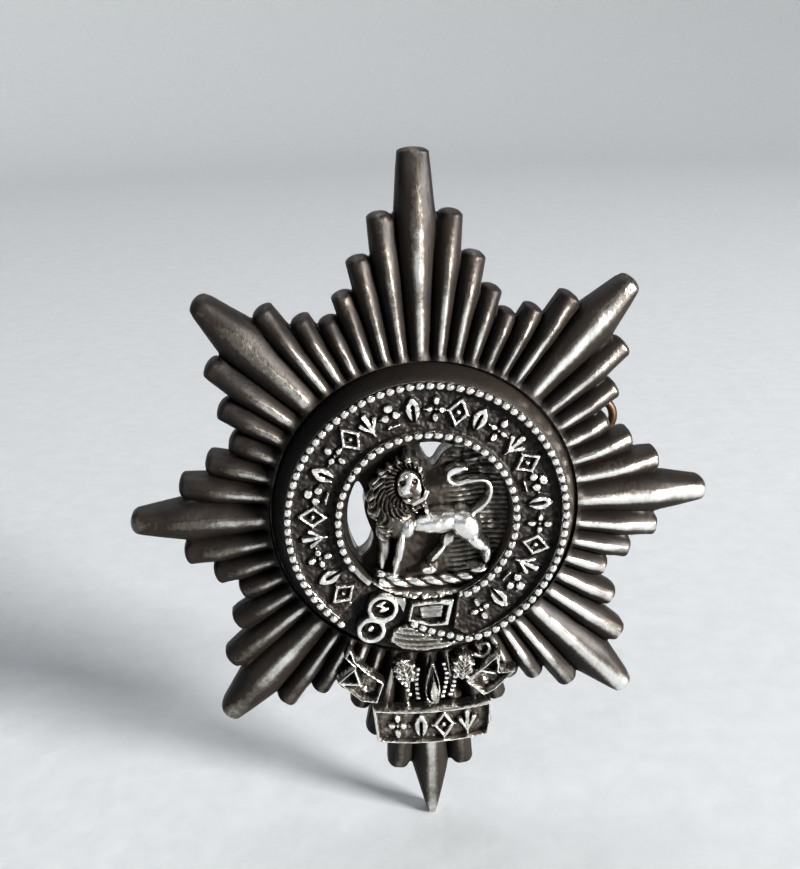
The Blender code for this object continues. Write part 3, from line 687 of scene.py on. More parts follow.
def beaded(path, pitch, radius, flat=1.0):
    # a wire whose radius swells and draws in once every pitch, like a string of beads
    path = np.asarray(path, float)
    run = np.concatenate([[0], np.cumsum(np.linalg.norm(np.diff(path, axis=0), axis=1))])
    count = max(1, round(run[-1] / pitch))
    steps = np.linspace(0, run[-1], count * 10 + 1)
    line = np.stack([np.interp(steps, run, path[:, k]) for k in range(3)], -1)
    phase = (np.arange(count * 10 + 1) % 10) / 10 * 2 - 1
    swell = np.sqrt(np.maximum(1 - (1.18 * phase) ** 2, 0))[:, None]
    size = radius * (beads["neck"] + (1 - beads["neck"]) * swell)
    return sweep(line, lambda r, t: size * np.where(np.sin(t) > 0, flat, 1.0), 10,
                 wearAndPaintedLight=lambda r, t: np.clip(0.12 + swell * (0.6 + 0.45 * np.sin(t)), 0, 1))


def makeBeading():
    height = beads["height"]
    turn = np.linspace(231, -66, 320)
    ring = np.concatenate([polar(beads["outer"], turn), np.full((320, 1), height)], 1)
    tail = smoothPath([(*polar(beads["outer"], -66), height), (1.3, -4.62, 2.02), (0.6, -4.47, 1.88),
                       (-0.1, -4.27, 1.8), (-0.72, -3.95, 1.76)], 60)
    outer = beaded(np.concatenate([ring, tail[1:]]), beads["pitch"], beads["radius"])
    build("outerBeading", [outer], "belt_outer_beading")
    turn = np.linspace(-68, 213, 300)
    ring = np.concatenate([polar(beads["inner"], turn), np.full((300, 1), height)], 1)
    build("innerBeading", [beaded(ring, beads["pitch"], beads["radius"] * 0.97)], "belt_inner_beading")


makeBeading()

# Field behind the lion

field = {"hatchPitch": 0.19, "hatchDepth": 0.075, "leafRise": 0.16}


def fieldHeight(x, y, depth):
    # flat, with ruled hatching to the right and leafy lumps at the upper right
    hatch = np.abs((y / field["hatchPitch"] + 0.25 * np.sin(x * 2.2)) % 1 - 0.5) * 2
    right = ease(x, 0.6, 1.2)
    leafy = ease(x + y, 2.0, 3.0) * ease(y, 0.9, 1.4)
    lumps = grain(x, y, 0.22, 11) + 0.6 * grain(x, y, 0.11, 12)
    z = groundTop - 0.08 + field["hatchDepth"] * hatch * right + 0.02 * lumps
    return z + leafy * field["leafRise"] * np.abs(grain(x, y, 0.3, 14))


def makeField():
    skin = cast(lambda x, y: np.maximum(np.hypot(x, y) - fieldRadius, -fromVoids(x, y)), fieldHeight,
                (-3, -3), (3, 3), 0.035, beltFoot, under=groundTop, reach=0.1, gain=5.0,
                bias=lambda x, y: -0.22 + 0.42 * ease(x, 0.2, 1.2))
    build("fieldGround", [skin], "field_ground", darkenedSilver)


makeField()

# Lion

lion = {
    "floor": groundTop + 0.03, "step": 0.022, "blend": 0.07, "limit": 0.72, "overLimit": 0.31,
    # masses: x, y, half length, half width, tilt, height, how bright it is worn
    "masses": [
        (0.38, -0.18, 1.15, 0.48, 2, 0.84, 0.3),       # body
        (-0.95, -0.15, 0.72, 0.62, 80, 0.72, -0.05),   # chest
        (-0.70, -0.30, 0.50, 0.34, 78, 0.88, 0.12),    # near shoulder
        (1.36, -0.34, 0.72, 0.56, -52, 1.0, 0.34),     # haunch
        (1.70, -0.94, 0.58, 0.30, -42, 0.94, 0.32),    # near thigh
        (2.08, -1.44, 0.46, 0.19, 84, 0.84, 0.32),     # near shank
        (1.80, -2.00, 0.42, 0.17, 6, 0.82, 0.25),      # near hind paw
        (0.80, -0.80, 0.50, 0.26, 62, 0.52, -0.05),    # far thigh
        (0.36, -1.42, 0.52, 0.14, 48, 0.50, 0.1),      # far shank
        (0.05, -2.00, 0.36, 0.19, 8, 0.55, 0.12),      # far hind paw
        (-0.98, -0.95, 0.82, 0.21, 80, 0.98, 0.32),    # near foreleg
        (-1.15, -1.55, 0.48, 0.17, 78, 0.90, 0.3),     # near forearm
        (-1.30, -2.02, 0.33, 0.17, 6, 0.86, 0.22),     # near forepaw
        (-1.50, -0.85, 0.88, 0.24, 88, 0.56, -0.3),    # far foreleg
        (-1.62, -1.50, 0.50, 0.17, 88, 0.50, -0.3),    # far forearm
        (-1.66, -2.02, 0.27, 0.17, 6, 0.56, 0.0),      # far forepaw
    ],
    "mane": [(-0.60, 2.50), (-1.05, 2.15), (-1.55, 1.85), (-1.95, 1.35), (-2.08, 0.85), (-2.08, 0.35),
             (-1.85, -0.1), (-1.72, -0.7), (-1.42, -1.05), (-1.15, -0.6), (-0.85, -0.2), (-0.45, 0.1),
             (0.02, 0.35), (0.05, 0.8), (0.0, 1.2), (-0.08, 1.7), (-0.2, 2.15)],
    "face": (-0.62, 1.3),
    "tail": [(1.5, 0.0), (1.95, 0.28), (2.22, 0.62), (2.26, 1.05), (2.02, 1.28), (1.5, 1.28), (1.0, 1.2),
             (0.78, 1.38), (0.84, 1.66), (1.12, 1.78), (1.42, 1.72)],
}
maneLine = rounded(lion["mane"], 5)


def softMax(a, b, width):
    h = np.clip(0.5 + 0.5 * (a - b) / width, 0, 1)
    return mix(b, a, h) + width * h * (1 - h)


def lionParts(x, y):
    # the height of the whole animal above its floor, its distance and how bright it is worn
    high, near, tone = np.zeros(x.shape), np.full(x.shape, 9.0), np.zeros(x.shape)
    for cx, cy, length, width, tilt, top, bright in lion["masses"]:
        edge = fromEllipse(x, y, cx, cy, length, width, tilt)
        share = edge / min(length, width) + 1
        dome = 0.12 * ease(-edge, -0.03, 0.06) + (top - 0.12) * np.sqrt(np.maximum(1 - share ** 2, 0))
        tone = np.where(dome > high, bright, tone)
        high = softMax(high, dome, lion["blend"]) * (np.minimum(edge, near) < 0.05)
        near = np.minimum(near, edge)
    # tail: a round cord with a tuft
    tailLine = smoothPath(lion["tail"], 36)
    edge = np.minimum(fromPath(x, y, tailLine, 0.12, 0.105),
                      fromLine(x, y, (0.84, 1.6), (1.3, 1.76), 0.15, 0.13))
    dome = 0.25 + 0.3 * domed(-edge, 0.1)
    tone = np.where((edge < 0) & (dome > high), 0.3, tone)
    high = np.where(edge < 0, np.maximum(high, dome), high)
    near = np.minimum(near, edge)
    # mane: long locks that spread from the face, heavier at the chest
    fx, fy = lion["face"]
    dx, dy = x - fx, y - fy
    reach, turn = np.hypot(dx, dy), np.arctan2(dy, dx)
    edge = fromPolygon(x, y, maneLine) + 0.05 * np.cos(turn * 17 + 1.0)
    sweepBack = turn + 0.35 * np.sin(reach * 3.1) + 0.1 * grain(x, y, 0.5, 21)
    lock = np.abs(((sweepBack * 15 / math.pi) + 0.5 * np.floor(reach / 0.42)) % 1 * 2 - 1)
    shag = 0.6 + 0.4 * ((reach / 0.42) % 1)
    strand = 0.5 + 0.5 * np.cos(sweepBack * 62)
    dome = 0.34 + 0.52 * domed(-edge, 0.75)
    dome = dome - 0.19 * lock * shag - 0.045 * strand
    tone = np.where((edge < 0) & (dome > high), -0.24, tone)
    high = np.where(edge < 0, np.maximum(high, dome), high)
    near = np.minimum(near, edge)
    # face: a broad dome, brows, a straight nose, muzzle, chin, eyes and one bright cheek tuft
    head = fromEllipse(x, y, fx, fy - 0.02, 0.62, 0.42, 100)
    skull = 0.82 + 0.2 * np.sqrt(np.maximum(1 - (head / 0.42 + 1) ** 2, 0))
    for cx, cy, length, width, tilt, rise in [
            (-0.84, 1.66, 0.17, 0.09, 25, 0.13), (-0.38, 1.7, 0.17, 0.09, -30, 0.13),
            (-0.92, 1.2, 0.17, 0.2, 80, 0.08), (-0.4, 1.16, 0.17, 0.2, 100, 0.08),
            (-0.74, 1.06, 0.2, 0.13, 0, 0.16), (-0.72, 0.8, 0.13, 0.1, 0, 0.1)]:
        bump = fromEllipse(x, y, cx, cy, length, width, tilt)
        share = np.minimum(bump / min(length, width) + 1, 1)
        skull = skull + rise * np.sqrt(np.maximum(1 - share ** 2, 0))
    bridge = fromPath(x, y, [(-0.54, 1.9), (-0.6, 1.55), (-0.76, 1.22)], 0.085, 0.12)
    skull = skull + 0.2 * domed(-bridge, 0.1) + 0.03 * grain(x, y, 0.09, 23)
    for ex, ey in ((-0.86, 1.48), (-0.44, 1.5)):
        pit = np.hypot((x - ex) / 1.2, y - ey)
        skull = skull - 0.2 * (1 - ease(pit, 0.05, 0.13)) + 0.12 * (1 - ease(pit, 0.02, 0.06))
    skull = skull - 0.14 * (1 - ease(fromLine(x, y, (-0.92, 0.93), (-0.55, 0.93)), 0.0, 0.05))
    skull = skull - 0.1 * (1 - ease(np.hypot(x + 0.74, (y - 1.15) * 1.6), 0.03, 0.09))
    tone = np.where((head < 0) & (skull > high), -0.2 + 0.5 * (1 - ease(bridge, -0.02, 0.05)), tone)
    high = np.where(head < 0, np.maximum(high - 0.1 * (head > -0.04), skull),
                    high - 0.16 * (1 - ease(head, 0, 0.12)))
    tuft = np.minimum(fromPath(x, y, [(0.0, 1.1), (-0.12, 0.86), (-0.48, 0.66)], 0.11, 0.07),
                      fromLine(x, y, (-0.05, 0.42), (-0.02, 0.25), 0.09, 0.06))
    high = np.where(tuft < 0, np.maximum(high, 0.7 + 0.28 * domed(-tuft, 0.09)), high)
    tone = np.where(tuft < 0, 0.32, tone)
    near = np.minimum(near, tuft)
    ribs = np.cos((x - 0.2) * 14 + y * 6) * (1 - ease(np.abs(x - 0.15), 0.3, 0.6)) * (1 - ease(y, -0.2, 0.1))
    return high + 0.015 * ribs, near, tone


def makeLion():
    floor = lion["floor"]

    def edge(x, y):
        # the animal, inside the belt and above the wreath's own line
        room = np.hypot(x, y) - fieldRadius + 0.02
        line = wreath["y"] - wreath["sag"] * (1 - np.minimum((x / wreath["span"]) ** 2, 1)) + 0.2
        return np.maximum(np.maximum(lionParts(x, y)[1], room), line - y)

    def height(x, y, depth):
        # heights over the limit are drawn in towards it, so the head stays below the metal's own top
        high = lionParts(x, y)[0]
        over = np.maximum(high - lion["limit"], 0)
        high = np.minimum(high, lion["limit"]) + lion["overLimit"] * (1 - np.exp(-over / lion["overLimit"]))
        skin = 0.006 * grain(x, y, 0.08, 2)
        return floor + 0.1 + np.maximum(high - 0.02, 0) * ease(depth, -0.01, 0.05) + skin

    skin = cast(edge, height, (-2.5, -2.5), (2.5, 2.65), lion["step"], floor - 0.02, under=floor - 0.15,
                reach=0.1, gain=3.6, bias=lambda x, y: 0.1 + lionParts(x, y)[2])
    build("lion", [skin], "lion", smooth=60)


# Twisted wreath that the lion walks on, and the mound below it

wreath = {"radius": 0.215, "half": 1.78, "y": -2.42, "sag": 0.1, "span": 1.9, "twist": 0.62}


def makeWreath():
    # two strands laid round each other: the radius follows the cosine of the angle less the twist
    x = np.linspace(-wreath["half"], wreath["half"], 150)
    y = wreath["y"] - wreath["sag"] * (1 - (x / wreath["span"]) ** 2)
    z = np.full_like(x, groundTop + 0.03 + wreath["radius"])
    taper = np.minimum(1, 0.45 + 1.6 * np.sqrt(1.02 - np.abs(x / wreath["half"])))[:, None]
    twist = (x / wreath["twist"] * math.pi)[:, None]

    def lobes(run, turn):
        return np.abs(np.cos(turn - twist - 0.6 * np.sin(turn)))

    skin = sweep(np.stack([x, y, z], -1),
                 lambda r, t: wreath["radius"] * taper * (0.6 + 0.4 * lobes(r, t) ** 0.8), 28,
                 wearAndPaintedLight=lambda r, t: np.clip(1.35 * lobes(r, t) - 0.1, 0, 1))
    build("wreath", [skin], "wreath", smooth=60)


def makeMound():
    # a dark lumpy bank from the wreath down to the strap, bounded by the wreath's lower side
    line = np.concatenate([polar(3.16, np.linspace(229, 289, 20)), [(1.12, -2.8), (0.4, -2.78), (-0.4, -2.78),
                           (-1.1, -2.72), (-1.6, -2.62), (-1.95, -2.3)]])

    def height(x, y, depth):
        lumps = np.abs(grain(x, y, 0.2, 31)) + 0.5 * np.abs(grain(x, y, 0.1, 32))
        return 1.5 + 0.2 * domed(depth, 0.15) + 0.14 * lumps * ease(depth, 0, 0.08)

    skin = castInside(line, height, (-2.2, -3.3), (1.3, -2.2), 0.03, groundTop + 0.03, under=1.45,
                      reach=0.08, gain=4.5, bias=-0.05)
    build("mound", [skin], "mound", darkenedSilver, smooth=60)


makeLion()
makeWreath()
makeMound()

# Buckle, keeper and strap end

buckle = {"under": 1.46, "floor": 1.52, "top": 1.98, "wire": 0.1,
          "upper": (-1.68, -3.30, 0.5), "lower": (-2.12, -4.11, 0.44)}


def makeBuckle():
    (ux, uy, ur), (lx, ly, lr) = buckle["upper"], buckle["lower"]

    def edge(x, y):
        # a figure of eight: two rounds with a soft waist between them
        a, b = np.hypot(x - ux, (y - uy) * 1.04) - ur, np.hypot((x - lx) * 0.94, y - ly) - lr
        return -softMax(-a, -b, 0.16) - buckle["wire"]

    def height(x, y, depth):
        rim = domed(depth, 0.1) * (1 - ease(depth, 2 * buckle["wire"] - 0.02, 2 * buckle["wire"] + 0.06))
        return mix(buckle["floor"], buckle["top"], rim) + 0.02 * grain(x, y, 0.1, 33)

    skin = cast(edge, height, (-2.8, -4.8), (-1.0, -2.6), 0.026, buckle["under"], reach=0.1, gain=3.2,
                bias=0.08)
    build("buckleFrame", [skin], "buckle_frame")
    lumps = []
    for (cx, cy, _), dx, dy, length, width, tilt in (
            (buckle["upper"], -0.06, 0.12, 0.24, 0.1, 25), (buckle["upper"], 0.06, -0.12, 0.24, 0.1, 25),
            (buckle["upper"], 0.0, 0.0, 0.17, 0.09, -35), (buckle["lower"], 0.0, 0.0, 0.17, 0.12, 60)):
        at = (cx + dx, cy + dy)
        lumps.append(cast(lambda x, y: fromEllipse(x, y, *at, length, width, tilt),
                          lambda x, y, d: 1.62 + 0.2 * domed(d, 0.1), (at[0] - 0.35, at[1] - 0.35),
                          (at[0] + 0.35, at[1] + 0.35), 0.028, buckle["under"], reach=0.06, gain=3, bias=0.1))
    fold = np.array([(-1.36, -2.9), (-0.86, -3.0), (-0.82, -3.2), (-0.95, -3.62), (-1.06, -3.3)])
    lumps.append(castInside(fold, lambda x, y, d: 1.72 + 0.1 * domed(d, 0.06), (-1.5, -3.8), (-0.7, -2.8),
                            0.03, buckle["under"], reach=0.1, gain=1.5, bias=0.12))
    build("buckleTongue", lumps, "buckle_tongue")


keeperLine = np.array([(-0.83, -3.84), (-0.66, -3.16), (0.9, -3.1), (0.66, -4.12), (-0.05, -4.1)])
plateLine = np.array([(-0.38, -3.36), (0.5, -3.3), (0.42, -3.8), (-0.3, -3.8)])


def makeStrap():
    def keeper(x, y, depth):
        # a raised frame, thick on the right, round a small plate
        thick = 0.1 + 0.07 * ease(x, 0.3, 0.6)
        frameBar = 1 - ease(depth, thick, thick + 0.05)
        inner = 1 - ease(fromPolygon(x, y, plateLine), -0.02, 0.03)
        z = 1.6 + 0.36 * frameBar * domed(depth, 0.05) + 0.24 * inner * (1 - frameBar)
        return z + 0.012 * np.cos(y * 40) * inner

    skin = castInside(keeperLine, keeper, (-1, -4.3), (1.1, -3.0), 0.03, buckle["under"], reach=0.09,
                      gain=3.4, bias=0.14)
    build("strapKeeper", [skin], "strap_keeper")
    ring = [(252.3, 0.97), (253, 0.72), (258.1, 0.55), (267.4, 0.71), (276.6, 0.88), (283.8, 1.01),
            (275.7, 1.04), (266.6, 1.06), (258.5, 1.04)]
    line = np.concatenate([polar(belt["inner"] + band * s, a)[None] for a, s in ring])

    def ribbed(x, y, depth):
        # long ribs that follow the belt's curve
        ribs = 0.5 + 0.5 * np.cos(np.hypot(x, y + 0.25) * 2 * math.pi / 0.2)
        return 1.62 + 0.12 * domed(depth, 0.08) + 0.13 * ribs * ease(depth, 0, 0.04)

    skin = castInside(line, ribbed, (-1.8, -5.3), (1.4, -3.8), 0.03, buckle["under"], reach=0.08, gain=4.2,
                      bias=0.16)
    build("strapTip", [skin], "strap_tip")


makeBuckle()
makeStrap()

# Ribbon scroll

scroll = {"foot": 1.18, "under": 1.0, "field": 1.56, "border": 1.86, "borderWidth": 0.11, "top": -7.3,
          "sag": 0.2, "height": 1.4, "half": 2.2, "taper": 0.94, "pitch": 0.86,
          "ornaments": [quatrefoil, leaf, lozenge, sprig]}


def panelLine():
    u = np.linspace(-1, 1, 25)
    top = np.stack([scroll["half"] * u, scroll["top"] - scroll["sag"] * (1 - u ** 2)], -1)
    low = np.stack([top[::-1, 0] * scroll["taper"], top[::-1, 1] - scroll["height"]], -1)
    right = [(scroll["half"], scroll["top"] - 0.35), (scroll["half"] * 0.985, scroll["top"] - 0.9)]
    return np.concatenate([top, right, low])


def makeScroll():
    line, pitch = panelLine(), scroll["pitch"]

    def height(x, y, depth):
        # a sunken field inside a raised edge, with a row of ornaments where a word would be
        bow = scroll["sag"] * (1 - np.minimum(x / scroll["half"], 1) ** 2)
        middle = scroll["top"] - bow - scroll["height"] / 2
        u, v = x + 2 * pitch, y - middle
        row = ornamentDistance(u, v, scroll["ornaments"], pitch)
        row = np.where((u > 0) & (u < 4 * pitch), row, 9)
        gap = np.hypot((u / pitch + 0.5) % 1 * pitch - pitch / 2, v) - 0.06
        row = np.minimum(row, np.where((u > 0.3) & (u < 3.2), gap, 9))
        rim = (1 - ease(depth, scroll["borderWidth"], scroll["borderWidth"] + 0.05)) * domed(depth, 0.07)
        ground = scroll["field"] + 0.02 * grain(x, y, 0.1, 41)
        raised = ground + 0.24 * (1 - ease(row, -0.05, 0.03))
        edge = mix(scroll["field"] - 0.1, scroll["border"], rim)
        return np.maximum(raised - 0.3 * (1 - ease(depth, 0, 0.05)), edge)

    skin = castInside(line, height, (-2.3, -9.1), (2.35, -7.2), 0.028, scroll["foot"], under=scroll["under"],
                      reach=0.09, gain=4.4, bias=0.04)
    build("scrollPanel", [skin], "scroll_panel")


leftTail = np.array([(-2.9, -4.75), (-3.15, -5.2), (-2.8, -5.62), (-3.45, -6.15), (-2.6, -7.0), (-2.0, -7.12),
                     (-1.7, -6.3), (-2.3, -5.8), (-2.72, -5.35)])
rightTail = np.array([(2.6, -5.3), (1.25, -6.5), (1.9, -7.12), (2.35, -6.9), (3.2, -6.1), (2.5, -6.15)])
tailRidges = {
    "left": [[(-2.8, -5.62), (-2.62, -6.3), (-3.4, -6.2)], [(-2.72, -5.35), (-1.72, -6.28), (-2.02, -7.05)]],
    "right": [[(2.5, -6.15), (2.42, -5.62)], [(1.3, -6.5), (2.0, -7.0)], [(1.75, -6.05), (2.32, -6.22)]],
}


def makeTails():
    for name, line, node in (("left", leftTail, "scroll_left_tail"),
                             ("right", rightTail, "scroll_right_tail")):
        def height(x, y, depth):
            # a sunken cloth with raised edges and raised fold lines
            fold = np.min([fromPath(x, y, ridge) for ridge in tailRidges[name]], axis=0)
            rim = np.maximum((1 - ease(depth, 0.08, 0.14)) * domed(depth, 0.05), 1 - ease(fold, 0.03, 0.09))
            ground = 1.42 + 0.05 * grain(x, y, 0.13, 51) + 0.03 * grain(x, y, 0.07, 52)
            return ground + (1.82 - ground) * rim - 0.2 * (1 - ease(depth, 0, 0.03))

        skin = castInside(line, height, line.min(0) - 0.1, line.max(0) + 0.1, 0.028, scroll["foot"],
                          under=scroll["under"], reach=0.08, gain=4.6, bias=0.06)
        build(f"{name}Tail", [skin], node)


makeScroll()
makeTails()

# Flame with its strings of pellets, and the two leaves

def dropLine(cx, cy, halfWidth, halfHeight, thin):
    turn = np.linspace(0, 2 * math.pi, 48, endpoint=False)
    fullness = thin + (1 - thin) * (1 - np.sin(turn)) / 2
    return np.stack([cx + halfWidth * np.cos(turn) * fullness, cy + halfHeight * np.sin(turn)], -1)


def makeFlame():
    outer = dropLine(0.05, -6.48, 0.42, 0.86, 0.25)
    inner = dropLine(0.1, -6.76, 0.26, 0.52, 0.15)

    def height(x, y, depth):
        # a bright drop inside a raised rim, with a groove between
        core = fromPolygon(x, y, inner)
        rim = domed(depth, 0.05) * (1 - ease(depth, 0.06, 0.11))
        return 1.42 + 0.28 * rim + 0.4 * domed(-core, 0.14) * (core < 0) - 0.08 * (1 - ease(depth, 0, 0.04))

    shells = [castInside(outer, height, (-0.45, -7.45), (0.55, -5.55), 0.025, scroll["foot"], under=1.1,
                         reach=0.07, gain=3.4, bias=0.14)]
    for line in ([(-0.42, -6.0), (-0.5, -6.6), (-0.46, -7.35)],
                 [(0.5, -5.85), (0.62, -6.4), (0.5, -7.0), (0.42, -7.35)],
                 [(-0.75, -6.2), (-0.9, -6.7), (-0.75, -7.2)], [(0.95, -6.4), (0.85, -6.9), (0.7, -7.3)]):
        path = smoothPath([(x, y, 1.28) for x, y in line], 40)
        shells.append(beaded(path, 0.2, 0.1))
    build("flame", shells, "flame")


def makeLeaves():
    for name, node, cx, cy, tilt in (("leftLeaf", "left_leaf", -0.95, -5.98, 12),
                                     ("rightLeaf", "right_leaf", 1.2, -5.95, -8)):
        c, s = math.cos(math.radians(tilt)), math.sin(math.radians(tilt))

        def turned(x, y):
            return (x - cx) * c + (y - cy) * s, (y - cy) * c - (x - cx) * s

        def edge(x, y):
            u, v = turned(x, y)
            lobes = 0.05 * np.cos(v * 22)
            return (np.hypot(u / 0.4, v / 0.54) - 1) * 0.36 + lobes * ease(np.abs(u), 0.05, 0.2)

        def height(x, y, depth):
            u, v = turned(x, y)
            veins = np.abs(((v - 1.1 * np.abs(u)) / 0.17) % 1 * 2 - 1)
            rib = 1 - ease(np.abs(u), 0.015, 0.05)
            return 1.4 + 0.26 * domed(depth, 0.16) + 0.09 * veins * ease(depth, 0, 0.05) + 0.06 * rib

        shells = [cast(edge, height, (cx - 0.55, cy - 0.7), (cx + 0.55, cy + 0.7), 0.028, scroll["foot"],
                       under=1.1, reach=0.07, gain=3.6, bias=0.16)]
        if name == "rightLeaf":
            curl = smoothPath([(1.62, -5.62, 1.3), (1.95, -5.72, 1.32), (2.2, -5.5, 1.34),
                               (2.12, -5.22, 1.34), (1.86, -5.25, 1.32), (1.9, -5.45, 1.3)], 40)
            shells.append(sweep(curl, lambda r, t: 0.09 - 0.04 * r, 8, wearAndPaintedLight=0.7))
        build(name, shells, node)


makeFlame()
makeLeaves()

# Fastening: two copper lugs and a split pin of half-round wire

lug = {"radius": 0.35, "flare": 0.22, "flareHeight": 0.28}


def makeLugs():
    for name, node in (("leftLug", "left_lug"), ("rightLug", "right_lug")):
        low, high = boxOnBench(node)
        x, y = (low[0] + high[0]) / 2, (low[1] + high[1]) / 2
        bend = (high[1] - low[1]) / 2 - lug["radius"]
        centre = low[2] + lug["radius"] + bend
        leg = np.linspace(0, 1, 22)[:, None] ** 1.5
        down = np.concatenate([np.full_like(leg, -bend), high[2] + (centre - high[2]) * leg], 1)
        turn = np.radians(np.linspace(180, 360, 30))[1:-1]
        bow = np.stack([bend * np.cos(turn), centre + bend * np.sin(turn)], -1)
        line = np.concatenate([down, bow, (down * [-1, 1])[::-1]])
        path = np.concatenate([np.full((len(line), 1), x), line[:, :1] + y, line[:, 1:]], 1)
        drop = (high[2] - path[:, 2])[:, None]
        size = lug["radius"] + lug["flare"] * np.exp(-(drop / lug["flareHeight"]) ** 2)
        wearAndPaintedLight = 0.62 - 0.35 * np.exp(-drop / 0.6)
        skin = sweep(path, lambda r, t: size * (0.97 + 0.02 * np.sin(3 * t + 8 * r)), 22, up=(1, 0, 0),
                     wearAndPaintedLight=lambda r, t: wearAndPaintedLight + 0.1 * np.cos(t))
        build(name, [skin], node, lugCopper)


pin = {"wire": 0.2, "eye": 0.72, "offset": 0.22, "shorterBy": 0.3}  # offset: a leg's middle from the axis


def makePin():
    # half-round wire, flat sides together: one leg, round the eye and back along the other leg
    low, high = boxOnBench("split_pin")
    y, z = (low[1] + high[1]) / 2, (low[2] + high[2]) / 2
    eyeX = high[0] - pin["eye"] - pin["wire"]
    opening = math.degrees(math.asin(pin["offset"] / pin["eye"]))
    eye = polar(pin["eye"], np.linspace(180 - opening, -180 + opening, 60)) + [eyeX, 0]
    share = np.linspace(0, 1, 60)[:, None]
    first = mix(np.array([[low[0], pin["offset"]]]), eye[:1], share[:-1])
    back = mix(eye[-1:], np.array([[low[0] + pin["shorterBy"], -pin["offset"]]]), share[1:])
    line = np.concatenate([first, eye, back])
    path = np.stack([line[:, 0], line[:, 1] + y, np.full(len(line), z)], -1)

    def section(turn):
        # the side that faces the other leg is nearly flat
        across = np.cos(turn)
        return np.where(across > 0, across, across * 0.75), np.sin(turn)

    skin = sweep(path, lambda r, t: pin["wire"] * (1 - 0.12 * (r < 0.004) - 0.12 * (r > 0.996)), 18,
                 section=section, wearAndPaintedLight=lambda r, t: 0.38 + 0.2 * np.cos(t) + 0.08 * np.sin(r * 90))
    build("splitPin", [skin], "split_pin", pinBrass, "pin")


makeLugs()
makePin()
print("badge built")

# Floor, light and camera

stageLook = {"colour": (0.40, 0.415, 0.43), "flat": 0.25, "bend": 0.35, "wall": 0.5, "around": 96,
             "sky": (0.62, 0.64, 0.67, 1), "skyStrength": 0.24}
# name, azimuth, elevation, distance, size, power, colour, spread
lamps = [("keyLight", 51, 7, 0.5, 0.165, 12.2, (1.0, 0.985, 0.955), 110),
         ("floorLight", 190, 62, 0.48, 0.42, 1.15, (1, 1, 1), 180),
         ("fillLight", -40, 45, 0.4, 0.3, 0.22, (0.93, 0.96, 1.0), 180)]
# the camera looks at a point near the star's centre, from 45 mm away
view = {"lens": 53.5, "sensor": 36, "clipStart": 0.002, "clipEnd": 10, "target": (-0.79, -1.0, 2.87),
        "distance": 45, "azimuth": -4.67, "elevation": 17.29, "roll": -1.93}


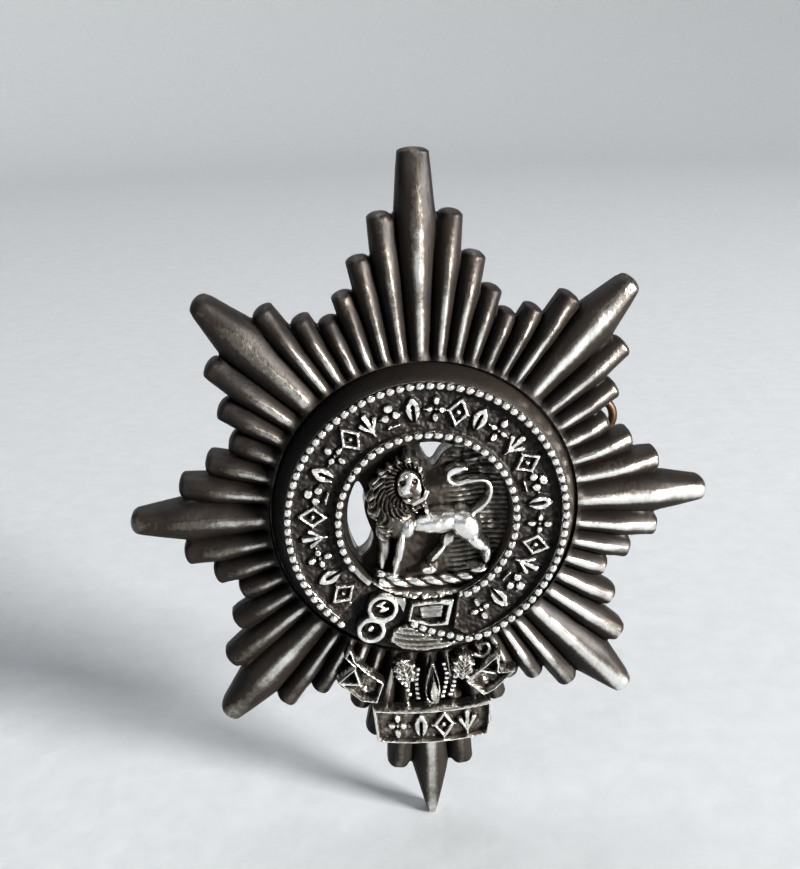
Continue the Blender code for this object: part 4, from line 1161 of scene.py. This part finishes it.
def makeFloor():
    # A round sweep: a profile turned about the upright axis, flat in the middle and curving up in a
    # quarter circle to a short wall, so that no horizon shows behind the badge from any side.
    level = cadBox[0].z
    rise = np.radians(np.linspace(0, 90, 24))
    flat, bend, around = stageLook["flat"], stageLook["bend"], stageLook["around"]
    out = np.concatenate([[0.02, 0.08, 0.15], flat + bend * np.sin(rise), [flat + bend]])
    up = np.concatenate([[0, 0, 0], bend * (1 - np.cos(rise)), [stageLook["wall"]]]) + level
    turn = np.linspace(0, 2 * math.pi, around, endpoint=False)[None, :]
    points = np.stack([out[:, None] * np.cos(turn), out[:, None] * np.sin(turn), up[:, None] + 0 * turn], -1)
    quads = gridFaces(len(out), around, False, True)
    mesh = bpy.data.meshes.new("floor")
    mesh.from_pydata(points.reshape(-1, 3).tolist(), [], [*quads[:, ::-1].tolist(), list(range(around))])
    mesh.shade_smooth()
    n = Nodes("paleFloor")
    where = n.add("TexCoord").outputs["Object"]
    paper = n.noise(where, 900, 6.0)
    n.put(n.shader, "Base Color", n.ramp(paper, [(0.3, tuple(c * 0.93 for c in stageLook["colour"])),
                                                 (0.7, stageLook["colour"])]))
    n.put(n.shader, "Roughness", 0.9)
    n.put(n.shader, "Specular IOR Level", 0.15)
    relief = n.add("Bump", None, Strength=0.12, Distance=0.0002, Height=paper)
    n.put(n.shader, "Normal", relief.outputs["Normal"])
    mesh.materials.append(n.material)
    floor = bpy.data.objects.new("floor", mesh)
    bpy.context.scene.collection.objects.link(floor)


def direction(azimuth, elevation):
    # the unit vector from the badge: azimuth 0 is straight in front and 90 is to the right
    a, e = math.radians(azimuth), math.radians(elevation)
    return Vector((math.sin(a) * math.cos(e), -math.cos(a) * math.cos(e), math.sin(e)))


def softLight(name, azimuth, elevation, distance, size, power, colour, spread):
    # a square soft box that faces the badge from that direction
    away = direction(azimuth, elevation)
    data = bpy.data.lights.new(name, "AREA")
    data.shape = "SQUARE"
    data.size = size
    data.energy = power
    data.color = colour
    data.spread = math.radians(spread)
    lamp = bpy.data.objects.new(name, data)
    lamp.location = starCentre + away * distance
    lamp.rotation_mode = "QUATERNION"
    lamp.rotation_quaternion = away.to_track_quat("Z", "Y")
    lamp.visible_camera = False
    bpy.context.scene.collection.objects.link(lamp)


def makeWorld():
    world = bpy.data.worlds.new("studio")
    bpy.context.scene.world = world
    world.use_nodes = True
    back = world.node_tree.nodes["Background"]
    back.inputs["Color"].default_value = stageLook["sky"]
    back.inputs["Strength"].default_value = stageLook["skyStrength"]


def makeCamera():
    data = bpy.data.cameras.new("camera")
    data.lens, data.sensor_width = view["lens"], view["sensor"]
    data.clip_start, data.clip_end = view["clipStart"], view["clipEnd"]
    target = starCentre + Vector(view["target"]) * mm
    roll = math.radians(view["roll"])
    away = direction(view["azimuth"], view["elevation"])
    right = (-away).cross(Vector((0, 0, 1))).normalized()
    up = right.cross(-away)
    rolledRight = right * math.cos(roll) + up * math.sin(roll)
    rolledUp = up * math.cos(roll) - right * math.sin(roll)
    camera = bpy.data.objects.new("camera", data)
    camera.matrix_world = Matrix.Translation(target + away * view["distance"] * mm) @ Matrix(
        (rolledRight, rolledUp, away)).transposed().to_4x4()
    bpy.context.scene.collection.objects.link(camera)
    bpy.context.scene.camera = camera


makeFloor()
for lamp in lamps:
    softLight(*lamp)
makeWorld()
makeCamera()
bpy.context.scene.view_settings.view_transform = "Standard"
bpy.context.scene.view_settings.look = "Medium High Contrast"
print("floor, lights and camera ready")
